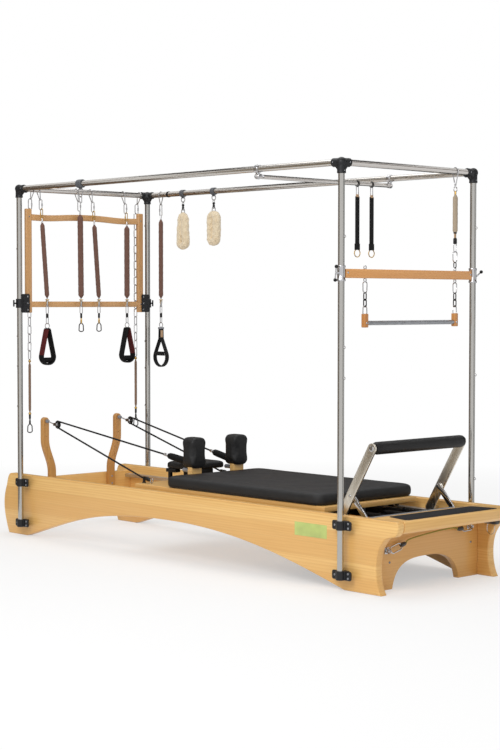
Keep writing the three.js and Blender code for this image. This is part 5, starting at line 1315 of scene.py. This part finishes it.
def below(z):
    """Place on the line of the spring above the slat."""
    return at(slat_x, eye_places[1], z)


upper = [top_hook(slat_x, eye_places[1], "y", 0.0, 1.630),
         wire_loop(below(1.6150), 0.0105, 0.0105, 0.0020, X, steps=24)]
cover = sleeve_skin_along(below(1.594), below(1.428), 0.0108, 0.0004)
pin = turned([(0.0030, 0.014), (0.0044, 0.010), (0.0040, -0.004)], below(1.594))
ferrule = [turned([(0.0046, 0.010), (0.0076, 0.004), (0.0066, -0.003)], below(1.433)),
           turned([(0.0060, 0), (0.0078, -0.002), (0.0080, -0.022), (0.0050, -0.025)], below(1.411),
                  sides=24)]
tan_band = webbing_strip(slat_x, eye_places[1], 1.430, 1.408, 0.0120, 0.0050)
swivel = [wire_loop(below(1.3700), 0.0082, 0.0180, 0.0018, X, -0.35, steps=24),
          wire_loop(below(1.3315), 0.0130, 0.0235, 0.0021, X, -0.3)]
lower_dark = wire_loop(below(1.2985), 0.0062, 0.0115, 0.0022, Y, steps=20)
parts = [(upper, chrome), (cover, beige_knit), (pin, brass), (ferrule, black_plastic),
         (tan_band, tan_webbing), (swivel, chrome), (lower_dark, spring_dark)]
slat_spring = make("slat_spring_sleeve", parts)
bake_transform(slat_spring)
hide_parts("slat_spring")

# %% [markdown]
# ## Head frame
# Two stiles, a gently waved upper bar and a straight lower bar make an open wooden frame. Black
# brackets clamp it to the head uprights, each with a collar, a plate with screws and a T-knob.

# %% Wooden frame
frame_x, stile_face, bar_face = -1.080, 0.0095, 0.0088
stiles = [block(at(frame_x - stile_face, sy * 0.333, 1.090),
                at(frame_x + stile_face, sy * 0.367, 1.596), 0.004) for sy in (-1, 1)]
reach, tall, dip = 0.3335, 0.030, 0.0066


def half_wave(side, level):
    """Edge of the waved bar from its middle to one end: it dips and rises by the same measure."""
    return [(0, level + dip), (side * reach / 2, level + dip), (side * reach / 2, level - dip),
            (side * reach, level)]


over = 1.570
under = over - tall
wave_outline = np.concatenate([bezier(half_wave(-1, under)[::-1], 16), bezier(half_wave(1, under), 16),
                               [(reach, under)], bezier(half_wave(1, over)[::-1], 16),
                               bezier(half_wave(-1, over), 16), [(-reach, over)]])
low_x, high_x = centre_x + frame_x - bar_face, centre_x + frame_x + bar_face
bars = [plank(wave_outline, low_x, high_x, "yz", 0.0035, 4),
        block((low_x, -reach, 1.117), (high_x, reach, 1.145), 0.0035)]
bars_screws = [screw_head(at(frame_x + stile_face, sy * 0.350, z), X, 0.0036) for sy in (-1, 1)
               for z in (1.131, 1.558)]
place(make("frame_of_wood", [(stiles, tan_wood[2]), (bars, tan_wood[1]), (bars_screws, zinc)]),
      "head_frame")

bracket_z, plate_in, plate_out = 1.136, 0.0113, 0.0152
collar = both_ways([(collar_bore, -0.022), (0.0176, -0.022), (0.0185, -0.021)])
for side, sy in (("front", -1), ("back", 1)):
    z, end = bracket_z, sy * 0.4365
    near, far = sorted((sy * 0.3525, sy * 0.4015))
    plate = rounded((near, z - 0.0455), (far, z + 0.0455), 0.006)
    black = [turned(collar, at(frame_x, sy * half_spread, z), Z, 40, closed=True),
             plank(plate, centre_x + frame_x + plate_in, centre_x + frame_x + plate_out, "yz", 0.0008),
             block(at(frame_x - 0.0005, sy * 0.3905, z - 0.0215),
                   at(frame_x + 0.0150, sy * 0.4005, z + 0.0215), 0.001),
             rod(at(frame_x, sy * 0.417, z), at(frame_x, end, z), 0.0039, 16),
             rod(at(frame_x, end, z - 0.016), at(frame_x, end, z + 0.016), 0.0039, 16)]
    heads = [screw_head(at(frame_x + plate_out, sy * 0.364, z + dz), X, 0.0044)
             for dz in (-0.032, 0.0, 0.032)]
    place(make(f"frame_clamp_{side}", [(black, cast_black), (heads, zinc)]), f"head_bracket_{side}")

# %% [markdown]
# ## Hanging springs
# Each long spring is hidden in a knitted brown sleeve. Above it are a wire hook over the rail and
# oval quick links, and below it a pin with a small brass loop, a link and a handle. The springs hang
# free, so the hook and everything under it ride on the spring's own body.

# %% Sleeved springs
def quick_link(centre, high, facing, wire=0.0020, wide=0.0085, upward=Z):
    """Oval of wire with a threaded sleeve on one long side."""
    nut, half = centre + unit(np.cross(upward, facing)) * wide, np.multiply(upward, 0.007)
    return [wire_loop(centre, wide, high, wire, facing, upward=upward, steps=24),
            rod(nut - half, nut + half, 0.0034, 6)]


def strap_path(neck, centre_z, radius, steps=20):
    """Half of a teardrop, from the middle of its foot up to its neck: an arc up to the angle where
    its tangent goes through the neck, then a straight run. Both are sideways place and height."""
    rise = np.array(neck) - (0, centre_z)
    meet = math.atan2(rise[1], rise[0]) - math.acos(radius / np.linalg.norm(rise))
    angle = np.linspace(-np.pi / 2, meet, steps)
    arc = np.column_stack([radius * np.cos(angle), centre_z + radius * np.sin(angle)])
    run = np.linspace(0, 1, 10)[1:, None]
    return arc, np.concatenate([arc[-1:], arc[-1] + run * (np.array(neck) - arc[-1])])


def strap_skin(path, x, y, sign, facing, depth, thick=0.0036):
    """Wide padded strap along a flat path. Its section is a flat oval, deep across the path's plane."""
    sideways, square = (Y, X) if facing == "x" else (X, Y)
    line = at(x, y, 0) + sign * path[:, :1] * sideways + path[:, 1:] * Z
    angle = np.arange(16) / 16 * 2 * np.pi
    circle = np.column_stack([np.cos(angle), np.sin(angle)])
    section = (thick, depth) * np.sign(circle) * abs(circle) ** 0.5
    return swept(line, 1.0, square, section=section)


def hand_loop(x, y, top, red_side):
    """Teardrop of wide strap whose one straight run is dark red, and a roll across its foot."""
    arc, run = strap_path((0.0065, top), top - 0.134, 0.0365)
    left, right, plain, red = (strap_skin(path, x, y, sign, "x", 0.0185, 0.0046) for path, sign in
                               ((arc, -1), (arc, 1), (run, -red_side), (run, red_side)))
    roll_profile = [(0.006, 0), (0.0115, 0.002), (0.0128, 0.008), (0.0128, 0.052), (0.0115, 0.058),
                    (0.006, 0.060)]
    black = [left, right, plain, turned(roll_profile, at(x, y - 0.030, top - 0.150), Y, 24),
             block(at(x - 0.016, y - 0.0095, top - 0.008), at(x + 0.016, y + 0.0095, top + 0.006),
                   0.003)]
    return black, red


def spring_top(x0, y0, facing, lean, drop):
    """Hook over the rail and quick links down to the sleeve's neck."""
    neck, hook_point = rail_z - drop + 0.026, 1.6405
    silver, gold = [top_hook(x0, y0, facing, lean * 0.5, hook_point - 0.002)], []
    count = max(1, round((hook_point - neck) / 0.042))
    pitch = (hook_point - neck) / count
    for i in range(count):
        offset = lean * (0.5 + 0.5 * (i + 0.5) / count)
        x, y = (x0 + offset, y0) if facing == "y" else (x0, y0 + offset)
        link = quick_link(at(x, y, hook_point - (i + 0.5) * pitch), pitch / 2 + 0.0026,
                          (X, Y)[(i + (facing == "x")) % 2])
        (gold if i % 2 else silver).extend(link)
    return silver, gold


def sleeve_set(x, y, drop, seed, lean=0.0, radius=0.0105):
    """Sleeve from its neck to its foot, with pins at both ends and brass loops on the lower pin. A
    lean moves the neck one way and the foot the other way."""
    top, bottom = rail_z - drop, 1.168
    neck, foot = at(x, y - lean, top), at(x, y + lean, bottom)
    cloth = sleeve_skin_along(neck + (0, 0, 0.006), foot - (0, 0, 0.005), radius, 0.0005, 120, 24, seed)
    pins = [turned([(0.0022, 0.030), (0.0036, 0.026), (0.0036, -0.002)], neck),
            turned([(0.0034, 0), (0.0034, -0.022), (0.0052, -0.024), (0.0052, -0.038),
                    (0.003, -0.042), (0.0026, -0.050)], foot)]
    loops = [wire_loop(foot - (0, 0, 0.014), 0.0086, 0.0086, 0.0018, Z, 0, X, 18, 6),
             wire_loop(foot - (0, 0, 0.024), 0.0062, 0.0110, 0.0018, X, steps=20)]
    return cloth, pins, loops


def hand_swivel(x, y, facing):
    """Two chrome links with a black band between them, over a round ring."""
    silver = [wire_loop(at(x, y, 1.1060), 0.0070, 0.0215, 0.0018, facing, steps=24),
              wire_loop(at(x, y, 1.0510), 0.0062, 0.0155, 0.0018, facing, steps=24),
              wire_loop(at(x, y, 1.0255), 0.0125, 0.0125, 0.0018, facing)]
    band = [(0.0050, 0), (0.0064, 0.001), (0.0064, 0.020), (0.0050, 0.021)]
    return silver, turned(band, at(x, y, 1.0850), (0, 0, -1), 20)


def snap_hook(x, y, top, facing, body_finish, gate_finish):
    """Black swivel and a rod over a teardrop-shaped hook of thick wire."""
    swivel = turned([(0.0024, 0.001), (0.0052, -0.002), (0.0052, -0.022), (0.0030, -0.024)],
                    at(x, y, top), sides=20)
    stem = turned([(0.0032, -0.022), (0.0034, -0.030), (0.0046, -0.034), (0.0046, -0.046),
                   (0.0030, -0.052)], at(x, y, top), sides=16)
    hook = wire_loop(at(x, y, top - 0.0690), 0.0130, 0.0215, 0.0026, facing, 0.45, steps=32)
    return [(swivel, black_plastic), (stem, gate_finish), (hook, body_finish)]


for number, y, drop, looped, lean, radius in (
        (1, -0.275, 0.168, True, 0.014, 0.0115), (2, -0.055, 0.120, False, 0.002, 0.0145),
        (3, 0.045, 0.168, False, 0.014, 0.0120), (4, 0.240, 0.168, True, 0.0, 0.0142)):
    x, foot_y = frame_x + 0.032, y + lean
    silver, gold = spring_top(frame_x, y - lean, "y", 0.032, drop)
    cloth, pins, loops = sleeve_set(x, y, drop, number * 1.7, lean, radius)
    parts = [(silver, chrome), (cloth, brown_knit), (pins, chrome), (gold + loops, brass)]
    if looped:
        swivel, band = hand_swivel(x, foot_y, X)
        black, red = hand_loop(x, foot_y, 1.008, -1 if number == 1 else 1)
        parts += [(swivel, chrome), (band, black_plastic)]
        hand = make(f"hand_loop_{number}", [(black, black_foam), (red, dark_red_foam)], 60)
        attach(hand, f"spring_{number}")
    else:
        oval = wire_loop(at(x, foot_y, 1.1040), 0.0075, 0.0200, 0.0018, X, steps=24)
        parts += [(oval, chrome), *snap_hook(x, foot_y, 1.086, X, spring_dark, brass)]
    place(make(f"sleeved_spring_{number}", parts), f"spring_{number}")

# %% [markdown]
# The spring on the back rail ends in a foot loop: a teardrop of wide black strap with a padded
# bridge, a tan patch at its neck and a pale lining at its foot.

# %% Foot loop spring
x, y = -0.972, half_spread
silver, gold = spring_top(x, y, "x", 0.0, 0.132)
cloth, pins, loops = sleeve_set(x, y, 0.132, 9.1, 0.0, 0.0118)
swivel, band = hand_swivel(x, y, Y)
place(make("sleeved_spring_5", [(silver, chrome), (cloth, brown_knit), (pins + swivel, chrome),
                                (gold + loops, brass), (band, black_plastic)]), "spring_5")
foot_z = 0.8610
arc, run = strap_path((0.0070, 0.955), foot_z, 0.0480)
neck = np.array([(0.0070, 0.955), (0.0060, 0.980), (0.0055, 1.006)])
yoke = [strap_skin(part, x, y, sign, "y", 0.0112) for part in (arc, run, neck) for sign in (-1, 1)]
yoke.append(rod(at(x - 0.044, y, 0.878), at(x + 0.044, y, 0.878), 0.0105, 24, 0.002))
cap = block(at(x - 0.010, y - 0.014, 1.004), at(x + 0.010, y + 0.014, 1.014), 0.003)
patch = block(at(x + 0.0088, y - 0.011, 0.962), at(x + 0.0105, y + 0.004, 0.998), 0.0006)
lining_path = strap_path((0.0060, 0.950), foot_z, 0.0435)[0]
lining = strap_skin(lining_path[4:], x, y, 1, "y", 0.0108, 0.0012)
foot_loop = make("foot_loop", [(yoke, webbing), (cap, grey_plastic), (patch, tan_webbing),
                               (lining, pale_lining)], 50)
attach(foot_loop, "spring_5")

# %% [markdown]
# Two chains of large chrome links hang behind the frame's stiles. Under each is a thin brown spring
# between brass beads, and a black snap hook.

# %% Chains with thin springs
for side, y, way in (("front", -0.330, 0.008), ("back", 0.338, 0.010)):
    x, y = -1.112, y + way
    links = [top_hook(frame_x, y, "y", -0.016, 1.643)]
    links += quick_link(at(-1.102, y, 1.6200), 0.0260, X, 0.0022, 0.0100)
    links += link_chain(x, y, 1.598, 0.862, 18, 0.0090, 0.0022)
    top, bottom = 0.858, 0.590
    thin = sleeve_skin_along(at(x, y, top - 0.012), at(x, y, bottom + 0.010), 0.0066, 0.0002, 40, 16)
    beads = [ball(at(x, y, top - 0.006), 0.0070, 16), ball(at(x, y, bottom + 0.005), 0.0070, 16)]
    parts = [(links, chrome), (thin, thin_knit), (beads, brass)]
    parts += snap_hook(x, y, bottom + 0.002, X, black_plastic, spring_dark)
    place(make(f"chain_set_{side}", parts), f"chain_spring_{side}")

# %% [markdown]
# ## Sheepskin loops
# A grey clamp band with a V-shaped ring sits on the back rail above each fleece. A black swivel
# joins it to the loop. The wool is a swept ring pushed out by noise in broad lumps.

# %% Fleeces
lumps = bpy.data.textures.new("wool_lumps", "CLOUDS")
lumps.noise_scale, lumps.noise_depth = 0.016, 3
band_bore = 0.0131


def clamp_band(x, y, half=0.012, radius=0.0180):
    """Wide band round a top rail with a bolted lug."""
    profile = both_ways([(band_bore, -half), (radius - 0.001, -half), (radius, 0.001 - half)])
    lug = rail_z - radius
    return [turned(profile, at(x, y, rail_z), X, 36, closed=True),
            block(at(x - 0.008, y - 0.005, lug - 0.007), at(x + 0.008, y + 0.005, rail_z - 0.0135),
                  0.001),
            crosswise((x, lug - 0.002), y - 0.009, y + 0.009, 0.003, 12)]


for number, x, neck_share, foot_share, low_end in ((1, -0.798, 0.62, 1.12, 1.4270),
                                                   (2, -0.566, 1.12, 1.05, 1.4400)):
    y = half_spread
    ring = wire_loop(at(x, y, 1.6590), 0.0135, 0.0135, 0.0020, Y, steps=32)
    link = wire_loop(at(x, y, 1.6400), 0.0048, 0.0085, 0.0016, X, steps=20)
    vee = wire_loop(at(x, y, 1.6000), 0.0115, 0.0150, 0.0020, Y, pear=0.35)
    swivel = [turned([(0.0035, 0), (0.0066, -0.003), (0.0066, -0.009), (0.0040, -0.012),
                      (0.0060, -0.016), (0.0060, -0.024)], at(x, y, 1.6360)),
              wire_loop(at(x, y, 1.6140), 0.0050, 0.0080, 0.0022, X)]
    angle = np.arange(72) / 72 * 2 * np.pi
    half, high = 0.0200, 1.5740
    rise = np.where(np.sin(angle) > 0, high - half, low_end + half) + half * np.sin(angle)
    height_share = np.clip((rise - low_end) / (high - low_end), 0, 1)
    spread = half * (foot_share + (neck_share - foot_share) * height_share)
    loop_line = np.column_stack([centre_x + x + spread * np.cos(angle), np.full(72, y), rise])
    wool = make(f"fleece_{number}", [(swept(loop_line, half, Y, True, 20), fleece)], 180)
    cells = wool.modifiers.new("cells", "REMESH")
    cells.mode, cells.voxel_size = "VOXEL", 0.0022
    broad = wool.modifiers.new("lumps", "DISPLACE")
    broad.texture, broad.strength, broad.mid_level = lumps, 0.0075, 0.48
    settled(wool, 180)
    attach(wool, f"sheepskin_{number}")
    place(make(f"fleece_hanger_{number}", [([ring, link, vee], chrome), (swivel, black_plastic)]),
          f"sheepskin_loop_{number}")
    loose(f"rail_band_{number}", [(clamp_band(x, y), dark_band)])

x, y = -0.592, -half_spread
front_ring = [wire_loop(at(x, y, 1.6480), 0.0150, 0.0200, 0.0022, Y, -0.4),
              wire_loop(at(x, y, 1.6160), 0.0070, 0.0150, 0.0018, X, steps=24)]
front_band = clamp_band(x, y, 0.017, 0.0195)
loose("rail_band_front", [(front_band, dark_band), (front_ring, chrome)])
tie = turned(both_ways([(band_bore, -0.005), (0.0152, -0.0045)]), at(-0.910, half_spread, rail_z), X,
             36, closed=True)
loose("rail_tie", [(tie, webbing)])

# %% [markdown]
# ## Safety line
# An elastic olive cord crosses the foot panel between two plates with eyes, quick links and dark
# swivels. It is a cord of its own, held taut between its two fittings. The plates, a spare ring and a
# small pad at the far end make one loose piece.

# %% Safety line
line_x, face_x, plate_half = 1.1973, panel_out + gap, 0.014
swivel_profile = [(0.0034, 0), (0.0086, 0.002), (0.0092, 0.012), (0.0086, 0.022), (0.0064, 0.028),
                  (0.0046, 0.032), (0.0028, 0.034)]
eyes, hooks, swivels, ends = [], [], [], []
for sy, y, z, rise in ((-1, -0.240, 0.158, 0.26), (1, 0.268, 0.212, -0.05)):
    eyes.append(block(at(face_x, y - plate_half, z - 0.013),
                      at(face_x + 0.004, y + plate_half, z + 0.013), 0.0012))
    eyes += [screw_head(at(face_x + 0.004, y + dy, z - 0.007), X, 0.003) for dy in (-0.009, 0.009)]
    eyes.append(wire_loop(at(face_x + 0.013, y, z), 0.0095, 0.0095, 0.0028, Y, steps=20))
    run = unit((0, -sy, rise))
    start = at(line_x, y, z) + run * 0.003
    hooks += quick_link(start + run * 0.0320, 0.0330, (1, 0, 0.35), 0.0032, 0.0135, run)
    swivels.append(turned(swivel_profile, start + run * 0.0610, run, 20))
    ends.append(start + run * 0.0935)
far_pad = block(at(1.232, 0.296, 0.2250), at(1.300, 0.322, 0.2458), 0.004)
spare = wire_loop(at(1.262, 0.309, 0.2060), 0.0200, 0.0250, 0.0013, Y)
loose("safety_line_pad", [(eyes + [spare], chrome), (far_pad, grey_dark)])
hooks_piece = loose("safety_line_fittings", [(hooks, chrome), (swivels, grey_dark)])
cord_share, cord_thick, cord_bow = np.linspace(0, 1, 36)[:, None], 0.0056, 0.015
bow = cord_bow * (4 * cord_share * (1 - cord_share)) ** 0.25 * Z
cord_line = ends[1] + cord_share * (ends[0] - ends[1]) + bow
cord_skin = swept(cord_line, cord_thick / 2, X)
safety_cord = make("safety_line_cord", [(cord_skin, olive_braid)])
place(safety_cord, "safety_line")

# %% [markdown]
# ## Stage
# The floor is pale and goes white far away, where the background is white too. Camera, glossy and
# transmission rays see a white world, and the light that falls on the table is softer. Dark and brown
# cards round the table, on the ground before them and overhead, seen only in reflections, give the
# polished tubes their dark lines.

# %% Floor, cards and light
def stage_plane(name, corners, finish):
    """Four corners made a plane that isn't part of the table."""
    mesh = bpy.data.meshes.new(name)
    mesh.from_pydata([tuple(map(float, c)) for c in corners], [], [(0, 1, 2, 3)])
    mesh.materials.append(finish)
    plane = bpy.data.objects.new(name, mesh)
    bpy.context.scene.collection.objects.link(plane)
    return plane


def reflected_card(name, corners, finish):
    """Plane that only shows in reflections."""
    card = stage_plane(name, corners, finish)
    card.visible_camera = card.visible_diffuse = False
    card.visible_shadow = card.visible_transmission = False


floor_finish = new_finish("pale_floor", (0.94, 0.94, 0.94), 0.9)
rays = add(floor_finish, "LightPath").outputs
seen = sums(floor_finish, "MAXIMUM", rays["Is Camera Ray"], rays["Is Glossy Ray"])
distance = add(floor_finish, "VectorMath", {0: object_place(floor_finish)},
               operation="LENGTH").outputs["Value"]
far_share = remap(floor_finish, distance, 0.8, 4.5, 0.45, 1.0)
glow = sums(floor_finish, "MULTIPLY", far_share, seen)
white_glow = add(floor_finish, "Emission", {"Color": (1, 1, 1, 1), "Strength": 1.0}).outputs[0]
floor_tree = floor_finish.node_tree
paint = floor_tree.nodes["Principled BSDF"].outputs["BSDF"]
shown = add(floor_finish, "MixShader", {0: glow, 1: paint, 2: white_glow}).outputs[0]
floor_tree.links.new(shown, floor_tree.nodes["Material Output"].inputs["Surface"])
floor_half, floor_z = 30, -0.0005
stage_plane("floor", [(sx * floor_half, sy * floor_half, floor_z)
                      for sx, sy in ((-1, -1), (1, -1), (1, 1), (-1, 1))], floor_finish)

card_finish = new_finish("dark_card", (0.02, 0.02, 0.02), 0.9)
cool_card = new_finish("cool_card", linear(52, 60, 62), 0.9)
warm_card = new_finish("warm_card", linear(112, 90, 70), 0.9)
tan_card = new_finish("tan_card", linear(168, 156, 140), 0.9)
wall_far, wall_top, ground_near, ground_z, ceiling_z = 6.5, 4.2, 2.3, 0.002, 4.4
card_places = [(62, 128, cool_card, 0), (128, 172, warm_card, 0), (172, 216, warm_card, 0),
               (224, 262, tan_card, 0), (12, 62, warm_card, 3.0), (14, 30, cool_card, 0)]
for number, (first, last, finish, foot) in enumerate(card_places):
    left, right = (np.array([np.cos(a), np.sin(a)]) for a in np.radians((first, last)))
    far_left, far_right = left * wall_far, right * wall_far
    wall = [(*far_left, foot), (*far_right, foot), (*far_right, wall_top), (*far_left, wall_top)]
    reflected_card(f"wall_card_{number}", wall, finish)
    if foot == 0:
        ground = [(*way, ground_z) for way in (left * ground_near, right * ground_near, far_right,
                                               far_left)]
        reflected_card(f"ground_card_{number}", ground, finish)
ceiling_places = [((-4, -3.1), (4, -2.1), warm_card), ((-4, 2.1), (4, 3.2), card_finish),
                  ((-3.6, -2.1), (-2.4, 2.1), card_finish), ((2.6, -2.1), (4.6, 3.0), warm_card)]
for number, ((x0, y0), (x1, y1), finish) in enumerate(ceiling_places):
    reflected_card(f"ceiling_card_{number}",
                   [(x, y, ceiling_z) for x, y in ((x0, y0), (x1, y0), (x1, y1), (x0, y1))], finish)

world = bpy.data.worlds.new("studio")
bpy.context.scene.world = world
world.use_nodes = True
soft_light = world.node_tree.nodes["Background"]
soft_light.inputs["Color"].default_value = (1, 1, 1, 1)
soft_light.inputs["Strength"].default_value = 0.5
white = add(world, "Background", {"Color": (1, 1, 1, 1), "Strength": 1.0})
rays = add(world, "LightPath").outputs
seen = sums(world, "MAXIMUM", rays["Is Camera Ray"], rays["Is Glossy Ray"])
seen = sums(world, "MAXIMUM", seen, rays["Is Transmission Ray"])
shown = add(world, "MixShader", {0: seen, 1: soft_light.outputs[0], 2: white.outputs[0]}).outputs[0]
world.node_tree.links.new(shown, world.node_tree.nodes["World Output"].inputs["Surface"])


def soft_box(name, place_at, target, size, power):
    """Square area lamp that faces a target."""
    lamp = bpy.data.lights.new(name, "AREA")
    lamp.shape, lamp.size, lamp.energy = "SQUARE", size, power
    holder = bpy.data.objects.new(name, lamp)
    bpy.context.scene.collection.objects.link(holder)
    back = unit(np.subtract(place_at, target))
    right_way = unit(np.cross(Z, back))
    turn = np.eye(4)
    turn[:3, :3] = np.stack([right_way, np.cross(back, right_way), back], 1)
    turn[:3, 3] = place_at
    holder.matrix_world = Matrix(turn.tolist())
    return holder


soft_box("key_light", (2.5, -4.5, 4.0), (0, 0, 0.6), 3.0, 146)
soft_box("top_light", (-0.5, 0.5, 5.0), (0, 0, 0.3), 4.0, 84)
bpy.context.scene.view_settings.view_transform = "Standard"
print("cards", len(card_places) + len(ceiling_places))
